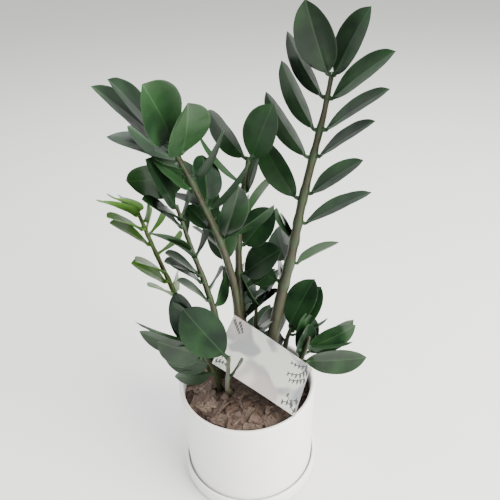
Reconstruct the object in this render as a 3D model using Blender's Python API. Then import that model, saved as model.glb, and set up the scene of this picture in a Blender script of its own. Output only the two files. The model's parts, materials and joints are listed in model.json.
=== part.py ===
"""Potted zz plant: ten fronds of fleshy leaflets growing from dark soil in a white glazed pot that
stands on its saucer, with a small plain card tucked between the stems and the rim.

Metres, +Z up. The origin is the centre of the saucer's flat underside, +X runs to the plant's right
and -Y to its front. Every frond is one stem and a row of leaflets. A leaflet pair is one piece that
passes over the face of its stem, and a leaflet that grows alone is a piece of its own."""

import math

import bmesh
import bpy
from mathutils import Vector

MM = 0.001

# ---- driving dimensions, in millimetres -------------------------------------------------------
GAP = 0.3                  # left between pieces that touch
ROUND_SIDES = 48           # sides of the turned pieces

SAUCER_RADIUS = 73.0
SAUCER_HEIGHT = 18.0
SAUCER_FLOOR = 5.0         # thickness under the pot
SAUCER_WALL = 3.6
SAUCER_CORNER = 7.0        # radius where the wall turns into the foot
SAUCER_LIP = 1.8           # radius of the rounded edge
SAUCER_FILLET = 3.0        # slope between the floor and the wall, inside

POT_RIM_RADIUS = 70.0
POT_FOOT_RADIUS = 68.0     # the wall tapers very slightly
POT_RIM_HEIGHT = 120.0     # above the surface the saucer stands on
POT_WALL = 4.5
POT_FLOOR = 6.0
POT_CORNER = 8.0           # radius where the wall turns into the foot
POT_FILLET = 6.0           # radius between the floor and the wall, inside
POT_TAPER_INSIDE = 1.0     # how much thicker the wall is at the foot
DRAIN_RADIUS = 9.0

SOIL_TOP = 108.0
SOIL_CROWN = 3.0           # how much the middle stands above the edge
SOIL_CORNER = 7.0          # height of the sloping edge at the bottom
SOIL_EDGE_DROP = 1.5       # how far the edge at the wall lies below the top
SOIL_RING_SHARES = (0.97, 0.85, 0.6, 0.3)
STEM_DEPTH = 24.0          # how far a stem reaches into the soil
SOCKET_CLEARANCE = 0.35

CARD_LENGTH = 97.0
CARD_WIDTH = 56.0
CARD_THICKNESS = 0.6
CARD_CENTRE = (18.0, -22.5, 159.5)
CARD_ALONG = (75.0, -13.0, -61.0)      # direction of the long edges, downhill
CARD_ACROSS = (21.0, 50.0, 16.0)       # direction of the short edges

STEM_SIDES = 8
STEM_RINGS = 14
STEM_FOOT = ((0.75, 0.0), (1.0, 0.25))   # shares of the radius and of the buried depth
STEM_TIP = (0.6, 0.7)      # shares of the tip's radius: how wide, how far on
UPPER_SIDE_RISE = 0.3      # how much a frond's upper side looks upwards
FRAME_STEP = 0.015         # share along the stem over which its direction is measured
LEAF_THICKNESS = 1.2
LEAF_LEAST_RISE = 0.1      # least height of an edge above the midrib
LEAF_FOLD = 0.10           # how far the edges stand above the midrib, as a share of the width
LEAF_BOW = 0.03            # how far the middle arches above the chord, as a share of the length
STALK_WIDTH = 2.4
STALK_THICKNESS = 1.5
STALK_CAP = 0.8            # share of the stalk's width where a lone leaflet meets its stem
STALK_TURN = 0.03          # share of the leaflet where its stalk turns out of the saddle
STALK_END = 0.06           # share of the leaflet where its blade begins
SADDLE_STEP = math.radians(38)                        # widest turn between saddle sections
ROOT_ANGLES = (math.radians(45), math.radians(110))   # where a leaflet may leave its stem's face

# Share of the chord and share of the greatest width, from the stalk to just short of the tip.
BLADE_OUTLINE = ((0.09, 0.32), (0.21, 0.70), (0.37, 0.95), (0.55, 1.00), (0.73, 0.87), (0.89, 0.52))

# ---- the fronds ---------------------------------------------------------------------------------
# Each frond has a route from the soil to its tip, the radius there and at the tip, the compass
# direction (degrees from +X towards +Y) that its upper side faces, and its leaflets. A leaflet is
# (share along the stem, angle away from the stem, lift towards the upper side, roll towards the
# frond's tip, length, width), with angles in degrees. A row holds the left and the right leaflet of
# a pair, or one leaflet and None.
FRONDS = {
    "tall_right": {
        "route": ((25, 16, 108), (28, 16, 155), (36, 17, 206), (47, 18, 257), (56, 19, 310),
                  (66, 20, 358), (73, 21, 390), (78, 22, 419)),
        "radii": (6.8, 1.7), "faces": 225,
        "leaflets": (
            ((1.00, 15, 30, 20, 62, 31), (1.00, 25, 5, 15, 60, 28)),
            ((0.91, 45, 10, -25, 62, 28), (0.91, 45, -5, 40, 66, 28)),
            ((0.78, 45, 10, -20, 66, 28), (0.79, 44, -9, 50, 66, 26)),
            ((0.69, 45, 20, -20, 68, 30), (0.70, 44, -8, 55, 62, 26)),
            ((0.58, 45, 16, 0, 66, 31), (0.60, 40, -25, 45, 58, 27)),
            ((0.47, 65, -15, -55, 40, 24), (0.52, 48, -33, 60, 70, 26)),
            ((0.40, 75, -30, 15, 52, 32), (0.41, 45, -30, 105, 50, 26)),
            ((0.34, 95, 5, 10, 46, 26), None),
        ),
    },
    "tall_left": {
        "route": ((-18, 20, 108), (-9, 19, 149), (-6, 17, 186), (-8, 11, 233), (-17, 0, 286),
                  (-28, -13, 330), (-38, -29, 369), (-44, -48, 396)),
        "radii": (5.2, 1.7), "faces": 300,
        "leaflets": (
            ((1.00, 5, -18, 50, 64, 30), (1.00, 4, 0, -10, 58, 38)),
            ((0.94, 10, -20, 55, 80, 30), (0.92, 16, 18, 10, 62, 36)),
            ((0.86, 15, -50, 45, 50, 32), (0.81, 40, 25, -45, 54, 28)),
            ((0.78, 22, -8, 55, 46, 26), (0.70, 65, -44, 15, 50, 30)),
            ((0.62, 12, -60, 20, 32, 24), (0.69, 50, 25, -45, 60, 28)),
            (None, (0.57, 45, -5, 5, 52, 30)),
            (None, (0.58, 55, 35, -20, 62, 28)),
        ),
    },
    "centre": {
        "route": ((0, 28, 108), (0, 28, 141), (-3, 29, 212), (-1, 29, 275), (5, 30, 319), (11, 30, 350)),
        "radii": (5.0, 1.8), "faces": 240,
        "leaflets": (
            ((0.99, 60, -5, -20, 58, 30), (1.00, 15, 0, 10, 54, 34)),
            ((0.84, 50, 15, -60, 58, 28), (0.80, 10, -15, 40, 34, 24)),
            ((0.68, 50, -35, -25, 34, 26), (0.67, 25, -30, 90, 54, 28)),
            ((0.56, 85, 0, -15, 34, 26), (0.56, 35, -20, 15, 50, 32)),
            ((0.40, 55, -30, -10, 34, 26), (0.46, 50, -10, 40, 54, 34)),
        ),
    },
    "slim_left": {
        "route": ((-27, 11, 108), (-24, 7, 161), (-26, 2, 197), (-33, -6, 246), (-40, -15, 286),
                  (-47, -28, 336)),
        "radii": (4.0, 1.4), "faces": 350,
        "leaflets": (
            ((1.00, 5, -10, 0, 52, 32), (0.95, 90, 0, -30, 34, 26)),
            ((0.92, 20, -20, 35, 52, 28), (0.87, 80, -20, -30, 26, 20)),
            ((0.81, 25, -25, 70, 52, 26), (0.76, 85, 5, -35, 40, 26)),
            ((0.66, 15, -25, 35, 46, 26), (0.56, 95, 10, -35, 36, 24)),
            ((0.62, 25, -20, 40, 46, 26), None),
            ((0.52, 15, -30, 35, 42, 26), (0.46, 80, 10, 0, 46, 28)),
        ),
    },
    "young_left": {
        "route": ((-38, 21, 108), (-47, 18, 153), (-56, 14, 191), (-68, 8, 242), (-78, 1, 290),
                  (-83, -6, 321)),
        "radii": (3.6, 1.3), "faces": 345,
        "leaflets": (
            ((0.99, 35, -15, 80, 48, 26), None),
            (None, (1.00, 90, -45, 40, 30, 24)),
            ((0.88, 35, -15, 60, 46, 26), (0.92, 0, 25, -10, 38, 24)),
            ((0.78, 25, -20, 40, 48, 26), (0.82, 80, 10, -45, 36, 26)),
            ((0.60, 25, -20, 35, 46, 28), (0.72, 85, 25, -55, 34, 26)),
            ((0.54, 35, -15, 65, 36, 24), (0.56, 105, -10, -10, 28, 22)),
        ),
    },
    "front": {
        "route": ((-17, -9, 108), (-17, -30, 135), (-17, -52, 162), (-13, -66, 210)),
        "radii": (3.2, 1.6), "faces": 285,
        "leaflets": (
            ((1.00, 60, -55, 25, 58, 38), None),
            (None, (0.80, 35, -15, -45, 24, 18)),
        ),
    },
    "low_left": {
        "route": ((-27, -6, 108), (-31, -13, 144), (-37, -23, 175), (-42, -34, 203)),
        "radii": (3.4, 1.5), "faces": 255,
        "leaflets": (
            ((0.97, 55, 0, -25, 60, 20), None),
            ((0.93, 55, -50, 25, 54, 30), None),
            ((0.73, 65, -5, 15, 64, 26), None),
            ((0.62, 45, 10, 20, 44, 30), None),
            ((0.31, 90, 10, 5, 42, 24), (0.40, 135, -55, 35, 26, 20)),
        ),
    },
    "short_right": {
        "route": ((36, 20, 108), (40, 19, 134), (43, 19, 154), (47, 18, 169)),
        "radii": (3.2, 1.6), "faces": 240,
        "leaflets": (
            ((1.00, 5, -35, -20, 56, 36), (0.91, 5, -35, 20, 56, 33)),
            ((0.61, 110, -40, 5, 30, 24), (0.81, 45, -35, -75, 44, 24)),
        ),
    },
    "low_right": {
        "route": ((44, 16, 108), (53, 11, 126), (60, 7, 147), (64, 2, 170)),
        "radii": (3.2, 1.6), "faces": 300,
        "leaflets": (
            ((0.58, 8, -9, 10, 45, 25), None),
            (None, (0.62, 50, 0, 15, 62, 28)),
            (None, (0.82, 70, 30, -30, 46, 22)),
            (None, (0.46, 60, 25, 25, 68, 32)),
        ),
    },
    "short_centre": {
        "route": ((10, 32, 108), (11, 31, 137), (11, 31, 165), (13, 30, 191)),
        "radii": (3.0, 1.5), "faces": 240,
        "leaflets": (
            ((1.00, 70, -45, 15, 50, 28), (1.00, 10, -60, 45, 48, 26)),
        ),
    },
}


def clear_scene():
    for item in list(bpy.data.objects):
        bpy.data.objects.remove(item, do_unlink=True)


def material(name, colour, roughness):
    """A Principled material. The colour is linear red, green and blue."""
    made = bpy.data.materials.new(name)
    made.use_nodes = True
    shader = made.node_tree.nodes["Principled BSDF"]
    shader.inputs["Base Color"].default_value = (*colour, 1.0)
    shader.inputs["Roughness"].default_value = roughness
    shader.inputs["Metallic"].default_value = 0.0
    return made


def solid(name, points, faces, finish, smooth_angle=40):
    """One closed object from points in millimetres and faces, with its normals turned outwards."""
    mesh = bpy.data.meshes.new(name)
    mesh.from_pydata([Vector(p) * MM for p in points], [], faces)
    shape = bmesh.new()
    shape.from_mesh(mesh)
    bmesh.ops.triangulate(shape, faces=[f for f in shape.faces if len(f.verts) > 4])
    bmesh.ops.recalc_face_normals(shape, faces=shape.faces)
    shape.to_mesh(mesh)
    shape.free()
    mesh.materials.append(finish)
    made = bpy.data.objects.new(name, mesh)
    bpy.context.scene.collection.objects.link(made)
    mesh.shade_smooth()
    mesh.set_sharp_from_angle(angle=math.radians(smooth_angle))
    return made


def arc(centre_r, centre_z, radius, start, end, steps):
    """Points (r, z) along a circular arc, with angles in degrees from +r towards +z."""
    angles = [math.radians(start + (end - start) * k / steps) for k in range(steps + 1)]
    return [(centre_r + radius * math.cos(a), centre_z + radius * math.sin(a)) for a in angles]


def turned(name, profile, finish):
    """Turns a closed profile of (r, z) points about Z. A point on the axis becomes one vertex."""
    points, rows = [], []
    for r, z in profile:
        count = ROUND_SIDES if r > 0 else 1
        rows.append([len(points) + k for k in range(count)])
        turn = 2 * math.pi / ROUND_SIDES
        points += [(r * math.cos(turn * k), r * math.sin(turn * k), z) for k in range(count)]
    faces = []
    for row, following in zip(rows, rows[1:] + rows[:1]):
        if len(row) == 1 and len(following) == 1:
            continue
        for k in range(ROUND_SIDES):
            after = (k + 1) % ROUND_SIDES
            ring = (row[k % len(row)], row[after % len(row)],
                    following[after % len(following)], following[k % len(following)])
            faces.append(tuple(dict.fromkeys(ring)))
    return solid(name, points, faces, finish)


def saucer(finish):
    inner = SAUCER_RADIUS - SAUCER_WALL
    foot = SAUCER_RADIUS - SAUCER_CORNER
    profile = [(0, 0), (foot, 0)]
    profile += arc(foot, SAUCER_CORNER, SAUCER_CORNER, -90, 0, 4)[1:]
    profile += arc(SAUCER_RADIUS - SAUCER_LIP, SAUCER_HEIGHT - SAUCER_LIP, SAUCER_LIP, 0, 160, 5)
    profile += [(inner, SAUCER_FLOOR + SAUCER_FILLET), (inner - SAUCER_FILLET, SAUCER_FLOOR),
                (0, SAUCER_FLOOR)]
    return turned("saucer", profile, finish)


def pot(finish):
    foot_z = SAUCER_FLOOR + GAP
    inner_rim = POT_RIM_RADIUS - POT_WALL
    inner_foot = POT_FOOT_RADIUS - POT_WALL - POT_TAPER_INSIDE
    lip = POT_WALL / 2
    profile = [(DRAIN_RADIUS, foot_z)]
    profile += arc(POT_FOOT_RADIUS - POT_CORNER, foot_z + POT_CORNER, POT_CORNER, -90, 0, 5)
    profile += arc(POT_RIM_RADIUS - lip, POT_RIM_HEIGHT - lip, lip, 0, 180, 6)
    profile += [(inner_rim, POT_RIM_HEIGHT - 2 * lip)]
    profile += arc(inner_foot - POT_FILLET, foot_z + POT_FLOOR + POT_FILLET, POT_FILLET, 0, -90, 3)
    profile += [(DRAIN_RADIUS, foot_z + POT_FLOOR)]
    return turned("pot", profile, finish)


def soil(finish):
    """Fills the pot up to a low crown, and stops short of the wall by the gap all round."""
    bottom = SAUCER_FLOOR + GAP + POT_FLOOR + GAP
    inner_foot = POT_FOOT_RADIUS - POT_WALL - POT_TAPER_INSIDE
    foot = inner_foot - POT_FILLET - GAP
    lower = inner_foot - 3 * GAP
    upper = POT_RIM_RADIUS - POT_WALL - 5 * GAP
    profile = [(0, bottom), (foot, bottom), (lower, bottom + SOIL_CORNER),
               (upper, SOIL_TOP - SOIL_EDGE_DROP)]
    for share in SOIL_RING_SHARES:
        profile.append((upper * share, SOIL_TOP + SOIL_CROWN * (1 - share ** 2)))
    profile.append((0, SOIL_TOP + SOIL_CROWN))
    return turned("soil", profile, finish)


def card(finish):
    """A stiff paper card, its low corner on the rim and its high end against the stems."""
    along = Vector(CARD_ALONG).normalized()
    up = along.cross(Vector(CARD_ACROSS)).normalized()
    across = up.cross(along)
    points = []
    for rise in (-CARD_THICKNESS / 2, CARD_THICKNESS / 2):
        for a, b in ((-1, -1), (1, -1), (1, 1), (-1, 1)):
            corner = Vector(CARD_CENTRE) + along * (a * CARD_LENGTH / 2) + across * (b * CARD_WIDTH / 2)
            points.append(corner + up * rise)
    faces = [(0, 3, 2, 1), (4, 5, 6, 7), (0, 1, 5, 4), (1, 2, 6, 5), (2, 3, 7, 6), (3, 0, 4, 7)]
    return solid("card", points, faces, finish)


class Stem:
    """A smooth curve through the frond's route, with its radius and the frame that leaflets use."""

    def __init__(self, plan):
        self.route = [Vector(p) for p in plan["route"]]
        self.foot = self.route[0] - Vector((0, 0, STEM_DEPTH))
        self.radii = plan["radii"]
        faces = math.radians(plan["faces"])
        self.upper_side = Vector((math.cos(faces), math.sin(faces), UPPER_SIDE_RISE))

    def point(self, share):
        """Catmull-Rom curve through the route, share 0 at the soil and 1 at the tip."""
        route = self.route
        ends = [2 * route[0] - route[1], *route, 2 * route[-1] - route[-2]]
        place = min(max(share, 0.0), 1.0) * (len(route) - 1)
        index = min(int(place), len(route) - 2)
        t = place - index
        a, b, c, d = ends[index:index + 4]
        return 0.5 * (2 * b + (c - a) * t + (2 * a - 5 * b + 4 * c - d) * t * t
                      + (3 * b - a - 3 * c + d) * t ** 3)

    def radius(self, share):
        return self.radii[0] + (self.radii[1] - self.radii[0]) * share

    def frame(self, share):
        """The point on the axis, the direction of growth, the upper side and the right side."""
        growth = (self.point(share + FRAME_STEP) - self.point(share - FRAME_STEP)).normalized()
        upper = (self.upper_side - growth * self.upper_side.dot(growth)).normalized()
        return self.point(share), growth, upper, growth.cross(upper)

    def loft(self, name, finish, clearance=0.0):
        """The stem's own solid, from its foot in the soil to a small rounded tip."""
        rings = []
        _, _, upper, right = self.frame(0.0)
        for radius, height in STEM_FOOT:
            centre = self.foot.lerp(self.route[0], height) - Vector((0, 0, clearance))
            rings.append((centre, right, upper, self.radii[0] * radius))
        for k in range(STEM_RINGS + 1):
            share = k / STEM_RINGS
            centre, growth, upper, right = self.frame(share)
            rings.append((centre, right, upper, self.radius(share)))
        width, reach = (self.radii[1] * part for part in STEM_TIP)
        rings.append((centre + growth * reach, right, upper, width))
        points, faces = [], []
        for centre, right, upper, radius in rings:
            for k in range(STEM_SIDES):
                turn = 2 * math.pi * k / STEM_SIDES
                out = right * math.cos(turn) + upper * math.sin(turn)
                points.append(centre + out * (radius + clearance))
        for row in range(len(rings) - 1):
            for k in range(STEM_SIDES):
                a, b = row * STEM_SIDES + k, row * STEM_SIDES + (k + 1) % STEM_SIDES
                faces.append((a, b, b + STEM_SIDES, a + STEM_SIDES))
        faces.append(tuple(reversed(range(STEM_SIDES))))
        faces.append(tuple(range(len(points) - STEM_SIDES, len(points))))
        return solid(name, points, faces, finish)


def section(centre, side, up, width, thickness, rise):
    """Four points of a leaflet's cross-section: edge, midrib above, edge, midrib below."""
    return [centre + side * width / 2 + up * rise, centre + up * thickness / 2,
            centre - side * width / 2 + up * rise, centre - up * thickness / 2]


def leaflet(stem, row, hand, alone):
    """Sections from the stem outwards, the tip, and the angle around the stem where it leaves.
    hand is -1 for a left leaflet and 1 for a right one."""
    share, spread, lift, roll, length, width = row
    spread, lift, roll = (math.radians(v) for v in (spread, lift, roll))
    axis, growth, upper, right = stem.frame(share)
    outward = growth * math.cos(spread) + right * hand * math.sin(spread)
    aim = outward * math.cos(lift) + upper * math.sin(lift)
    tip = axis + aim * length
    angle = math.atan2(hand * aim.dot(right), aim.dot(upper))
    if not alone:
        angle = min(max(angle, ROOT_ANGLES[0]), ROOT_ANGLES[1])
    radial = upper * math.cos(angle) + right * hand * math.sin(angle)
    stand_off = (stem.radius(share) + GAP) / math.cos(math.pi / STEM_SIDES) + STALK_THICKNESS / 2
    root = axis + radial * stand_off
    chord = tip - root
    ahead = chord.normalized()
    flat = (upper - ahead * upper.dot(ahead)).normalized()
    towards_tip = hand * flat.cross(ahead)
    up = flat * math.cos(roll) + towards_tip * math.sin(roll)
    side = towards_tip * math.cos(roll) - flat * math.sin(roll)
    sections = []
    if alone:
        sections.append(section(root, side, up, STALK_WIDTH * STALK_CAP, STALK_THICKNESS, 0))
    else:
        halfway_up = (up + radial).normalized()
        halfway_side = (side + growth - halfway_up * halfway_up.dot(side + growth)).normalized()
        sections.append(section(root + chord * STALK_TURN, halfway_side, halfway_up,
                                STALK_WIDTH, STALK_THICKNESS, 0))
    for along, breadth in ((STALK_END, STALK_WIDTH / width), *BLADE_OUTLINE):
        arch = up * (LEAF_BOW * length * 4 * along * (1 - along))
        blade = breadth * width
        sections.append(section(root + chord * along + arch, side, up, blade, LEAF_THICKNESS,
                                max(LEAF_FOLD * blade, LEAF_LEAST_RISE)))
    return sections, tip, angle


def saddle(stem, left_share, right_share, left_angle, right_angle):
    """Sections that carry a pair over the face of its stem, from the left root to the right one."""
    turn = left_angle + right_angle
    steps = max(2, math.ceil(turn / SADDLE_STEP))
    half_step = turn / steps / 2
    made = []
    for k in range(steps + 1):
        t = k / steps
        share = left_share + (right_share - left_share) * t
        angle = -left_angle + turn * t
        axis, growth, upper, right = stem.frame(share)
        radial = upper * math.cos(angle) + right * math.sin(angle)
        clear = (stem.radius(share) + GAP) / math.cos(math.pi / STEM_SIDES) / math.cos(half_step)
        made.append(section(axis + radial * (clear + STALK_THICKNESS / 2), growth, radial,
                            STALK_WIDTH, STALK_THICKNESS, 0))
    return made


def ribbon(name, sections, finish, start_tip=None, end_tip=None):
    """Joins four-point sections into one closed solid, ending in a tip or in a flat cap."""
    points = [p for ring in sections for p in ring]
    faces = []
    for row in range(len(sections) - 1):
        for k in range(4):
            a, b = row * 4 + k, row * 4 + (k + 1) % 4
            faces += [(a, b, b + 4), (a, b + 4, a + 4)]
    last = len(sections) * 4 - 4
    for tip, first in ((start_tip, 0), (end_tip, last)):
        if tip is None:
            faces.append(tuple(first + k for k in range(4)))
        else:
            faces += [(first + k, first + (k + 1) % 4, len(points)) for k in range(4)]
            points.append(tip)
    return solid(name, points, faces, finish, smooth_angle=60)


def leaflet_piece(name, stem, left, right, finish):
    if left and right:
        left_sections, left_tip, left_angle = leaflet(stem, left, -1, False)
        right_sections, right_tip, right_angle = leaflet(stem, right, 1, False)
        across = saddle(stem, left[0], right[0], left_angle, right_angle)
        sections = left_sections[::-1] + across + right_sections
        return ribbon(name, sections, finish, left_tip, right_tip)
    row, hand = (left, -1) if left else (right, 1)
    sections, tip, _ = leaflet(stem, row, hand, True)
    return ribbon(name, sections, finish, None, tip)


def cut_socket(body, cutter):
    """Cuts the hidden cutter out of a body."""
    cutter.hide_render = True
    cutter.display_type = "WIRE"
    cut = body.modifiers.new(cutter.name, "BOOLEAN")
    cut.operation = "DIFFERENCE"
    cut.solver = "EXACT"
    cut.object = cutter


def main():
    clear_scene()
    glaze = material("white_glazed_ceramic", (0.80, 0.80, 0.78), 0.3)
    peat = material("peat_soil", (0.030, 0.020, 0.015), 0.95)
    paper = material("printed_card", (0.62, 0.62, 0.60), 0.6)
    saucer(glaze)
    pot(glaze)
    ground = soil(peat)
    card(paper)
    for name, plan in FRONDS.items():
        bark = material(f"stalk_{name}", (0.13, 0.15, 0.07), 0.5)
        green = material(f"leaf_{name}", (0.020, 0.075, 0.022), 0.3)
        stem = Stem(plan)
        stem.loft(f"stem_{name}", bark)
        cut_socket(ground, stem.loft(f"socket_{name}", bark, SOCKET_CLEARANCE))
        for number, (left, right) in enumerate(plan["leaflets"], 1):
            kind = "leaflets" if left and right else "leaflet"
            leaflet_piece(f"{kind}_{name}_{number}", stem, left, right, green)


main()
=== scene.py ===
# %% [markdown]
# # A potted ZZ plant
# A ZZ plant (Zamioculcas zamiifolia) grows fleshy, waxy leaflets in two rows on stout stems that rise
# straight out of the soil. The CAD model already holds every piece at its place, as plain solids.
# This lesson grows the visible plant on that frame: it reads each solid's cross-sections, and lets
# Geometry Nodes sweep finer leaflets and stems along them.

import math
import random

import bmesh
import bpy
from mathutils import Matrix, Vector, noise
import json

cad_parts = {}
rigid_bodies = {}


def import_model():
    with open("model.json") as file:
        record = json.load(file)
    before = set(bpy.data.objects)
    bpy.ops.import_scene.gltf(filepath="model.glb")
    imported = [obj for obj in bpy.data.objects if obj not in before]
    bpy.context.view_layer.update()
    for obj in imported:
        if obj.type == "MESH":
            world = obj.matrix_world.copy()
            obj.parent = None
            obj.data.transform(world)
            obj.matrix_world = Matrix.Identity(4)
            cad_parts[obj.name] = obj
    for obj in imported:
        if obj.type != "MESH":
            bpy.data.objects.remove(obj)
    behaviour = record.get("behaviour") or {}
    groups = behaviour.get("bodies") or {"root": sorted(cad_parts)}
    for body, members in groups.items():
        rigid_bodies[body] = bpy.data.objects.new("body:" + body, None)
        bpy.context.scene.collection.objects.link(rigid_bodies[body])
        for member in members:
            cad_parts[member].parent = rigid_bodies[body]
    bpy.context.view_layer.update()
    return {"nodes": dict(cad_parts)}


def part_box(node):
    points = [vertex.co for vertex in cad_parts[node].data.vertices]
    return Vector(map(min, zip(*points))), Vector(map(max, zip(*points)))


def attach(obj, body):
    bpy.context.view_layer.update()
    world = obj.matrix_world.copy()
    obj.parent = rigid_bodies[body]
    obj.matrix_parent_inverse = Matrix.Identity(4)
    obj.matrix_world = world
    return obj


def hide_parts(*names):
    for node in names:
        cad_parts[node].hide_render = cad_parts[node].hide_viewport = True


for leftover in list(bpy.data.objects):
    bpy.data.objects.remove(leftover, do_unlink=True)
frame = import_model()
MM = 0.001
print("CAD nodes:", len(frame["nodes"]))

# %% [markdown]
# ## Small tools
# Every material and every Geometry Nodes tree below is made of nodes. One function adds a node, sets
# its own properties and fills its inputs with plain values or with other nodes. Colours are written
# as sRGB hex, the way a paint chart gives them, and turned to the linear values that light needs.

# %% Add a node, and turn a colour to linear
def add_node(tree, kind, inputs=None, **settings):
    """Adds one node. An input takes a plain value, another node (its first output) or a socket."""
    made = tree.nodes.new(kind)
    for name, value in settings.items():
        setattr(made, name, value)
    for key, value in (inputs or {}).items():
        if isinstance(value, bpy.types.Node):
            value = value.outputs[0]
        if isinstance(value, bpy.types.NodeSocket):
            tree.links.new(value, made.inputs[key])
        else:
            made.inputs[key].default_value = value
    return made


def linear(hex_colour):
    """An sRGB hex colour as linear red, green, blue and alpha."""
    parts = [int(hex_colour[k:k + 2], 16) / 255 for k in (1, 3, 5)]
    return (*[p / 12.92 if p <= 0.04045 else ((p + 0.055) / 1.055) ** 2.4 for p in parts], 1.0)


print("mid green, linear:", [round(v, 3) for v in linear("#3f6b3c")])

# %% [markdown]
# Every finish starts as a named material and ends at one shader. What varies over the surface is
# linked to the shader, and what is the same all over is set on it as a plain value.

# %% Start a finish, and dress its shader
def new_finish(name):
    """A material that is made of nodes, and its node tree."""
    made = bpy.data.materials.new(name)
    made.use_nodes = True
    return made, made.node_tree


def dress_shader(tree, links, values):
    """Links sockets to the shader's inputs, and sets its plain values."""
    shader = tree.nodes["Principled BSDF"]
    for label, socket in links.items():
        tree.links.new(socket, shader.inputs[label])
    for label, value in values.items():
        shader.inputs[label].default_value = value


# %% [markdown]
# A Geometry Nodes tree needs an object to run on. Here that object is a guide: a plain chain of
# points that carries widths and directions as attributes. The tree runs once, its result is kept as
# an ordinary mesh, and the guide goes. Nothing live is left on the finished piece, so it exports
# and moves like any other mesh.

# %% Start a tree, run it on a guide, and settle a finished piece
def new_tree(name, sizes):
    """An empty Geometry Nodes tree with named inputs. sizes gives each input's socket type."""
    tree = bpy.data.node_groups.new(name, "GeometryNodeTree")
    tree.interface.new_socket("Guide", in_out="INPUT", socket_type="NodeSocketGeometry")
    for label, kind in sizes.items():
        tree.interface.new_socket(label, in_out="INPUT", socket_type=kind)
    tree.interface.new_socket("Shape", in_out="OUTPUT", socket_type="NodeSocketGeometry")
    return tree


def guide_mesh(name, points, edges, values):
    """A mesh of points and edges. values maps an attribute's name to one value for each point."""
    mesh = bpy.data.meshes.new(name)
    mesh.from_pydata([tuple(p) for p in points], edges, [])
    for label, column in values.items():
        vector = hasattr(column[0], "__len__")
        layer = mesh.attributes.new(label, "FLOAT_VECTOR" if vector else "FLOAT", "POINT")
        for item, value in zip(layer.data, column):
            if vector:
                item.vector = value
            else:
                item.value = value
    return mesh


def add_object(name, mesh):
    made = bpy.data.objects.new(name, mesh)
    bpy.context.scene.collection.objects.link(made)
    return made


def grow(name, guide, tree, sizes):
    """Runs the tree on the guide mesh and keeps the outcome as one plain mesh object."""
    holder = add_object(name + "_guide", guide)
    modifier = holder.modifiers.new(tree.name, "NODES")
    modifier.node_group = tree
    for label, value in sizes.items():
        modifier[tree.interface.items_tree[label].identifier] = value
    depsgraph = bpy.context.evaluated_depsgraph_get()
    mesh = bpy.data.meshes.new_from_object(
        holder.evaluated_get(depsgraph), preserve_all_data_layers=True, depsgraph=depsgraph)
    holder.modifiers.remove(modifier)
    bpy.data.objects.remove(holder, do_unlink=True)
    mesh.name = name
    return add_object(name, mesh)


def settle(piece, slot, *nodes):
    """The plant has one body. The piece rides on it and stands for its CAD nodes."""
    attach(piece, "root")
    if nodes:
        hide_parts(*nodes)
    return piece


# %% [markdown]
# ## Camera, light and table
# The plant is seen from the front and from above, at arm's length, with the camera very slightly
# turned about its own axis. The light is a bright room: a broad window to the right and in front, a
# softer light from the ceiling, and a faint fill from the left.

# %% Camera
CAMERA_PLACE = Vector((8.8, -406.9, 527.5)) * MM
CAMERA_PITCH = math.radians(31.71)      # downwards from the horizon
CAMERA_ROLL = math.radians(2.365)
CAMERA_LENS = 38.95                     # millimetres, on a 36 mm wide sensor

camera_data = bpy.data.cameras.new("camera")
camera_data.lens = CAMERA_LENS
camera_data.sensor_width = 36.0
camera = add_object("camera", camera_data)
ahead = Vector((0, math.cos(CAMERA_PITCH), -math.sin(CAMERA_PITCH)))
down = Vector((0, -math.sin(CAMERA_PITCH), -math.cos(CAMERA_PITCH)))
level = Vector((1, 0, 0))
right = level * math.cos(CAMERA_ROLL) + down * math.sin(CAMERA_ROLL)
below = down * math.cos(CAMERA_ROLL) - level * math.sin(CAMERA_ROLL)
turn = Matrix((right, -below, -ahead)).transposed().to_4x4()
camera.matrix_world = Matrix.Translation(CAMERA_PLACE) @ turn
bpy.context.scene.camera = camera
print("camera looks along", [round(v, 3) for v in ahead])

# %% Soft studio light
def soft_light(name, place, target, size, power, colour):
    """A square area light at place, aimed at target. Lengths are in metres and power in watts."""
    lamp = bpy.data.lights.new(name, "AREA")
    lamp.shape = "SQUARE"
    lamp.size = size
    lamp.energy = power
    lamp.color = linear(colour)[:3]
    made = add_object(name, lamp)
    made.location = place
    made.rotation_euler = (Vector(target) - Vector(place)).to_track_quat("-Z", "Y").to_euler()
    return made


plant_middle = (0, 0, 0.25)
soft_light("window", (1.3, -0.9, 1.1), plant_middle, 1.4, 108, "#fffbf4")
soft_light("ceiling", (0.2, 0.3, 1.9), plant_middle, 1.6, 52, "#f8faff")
soft_light("fill", (-1.6, -1.2, 0.8), plant_middle, 1.5, 7, "#f4f7ff")

sky = bpy.data.worlds.new("room_light")
bpy.context.scene.world = sky
sky.use_nodes = True
sky.node_tree.nodes["Background"].inputs["Color"].default_value = linear("#eef0ef")
sky.node_tree.nodes["Background"].inputs["Strength"].default_value = 1.1

# %% Table top
def table_finish():
    """Matt white painted board: it stays quiet, and only a faint unevenness keeps it from looking flat."""
    made, tree = new_finish("matt_painted_board")
    place = add_node(tree, "ShaderNodeTexCoord")
    cloud = add_node(tree, "ShaderNodeTexNoise", {"Vector": place.outputs["Object"], "Scale": 3.0})
    tint = add_node(tree, "ShaderNodeMix", {0: cloud.outputs["Fac"], 6: linear("#e4e4e0"),
                                            7: linear("#e9e9e5")}, data_type="RGBA")
    dress_shader(tree, {"Base Color": tint.outputs[2]}, {"Roughness": 0.6})
    return made


TABLE_REACH = 6.0
table_shape = bmesh.new()
bmesh.ops.create_grid(table_shape, x_segments=1, y_segments=1, size=TABLE_REACH)
table_mesh = bpy.data.meshes.new("table_top")
table_shape.to_mesh(table_mesh)
table_shape.free()
table_mesh.materials.append(table_finish())
table_top = add_object("table_top", table_mesh)

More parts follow.
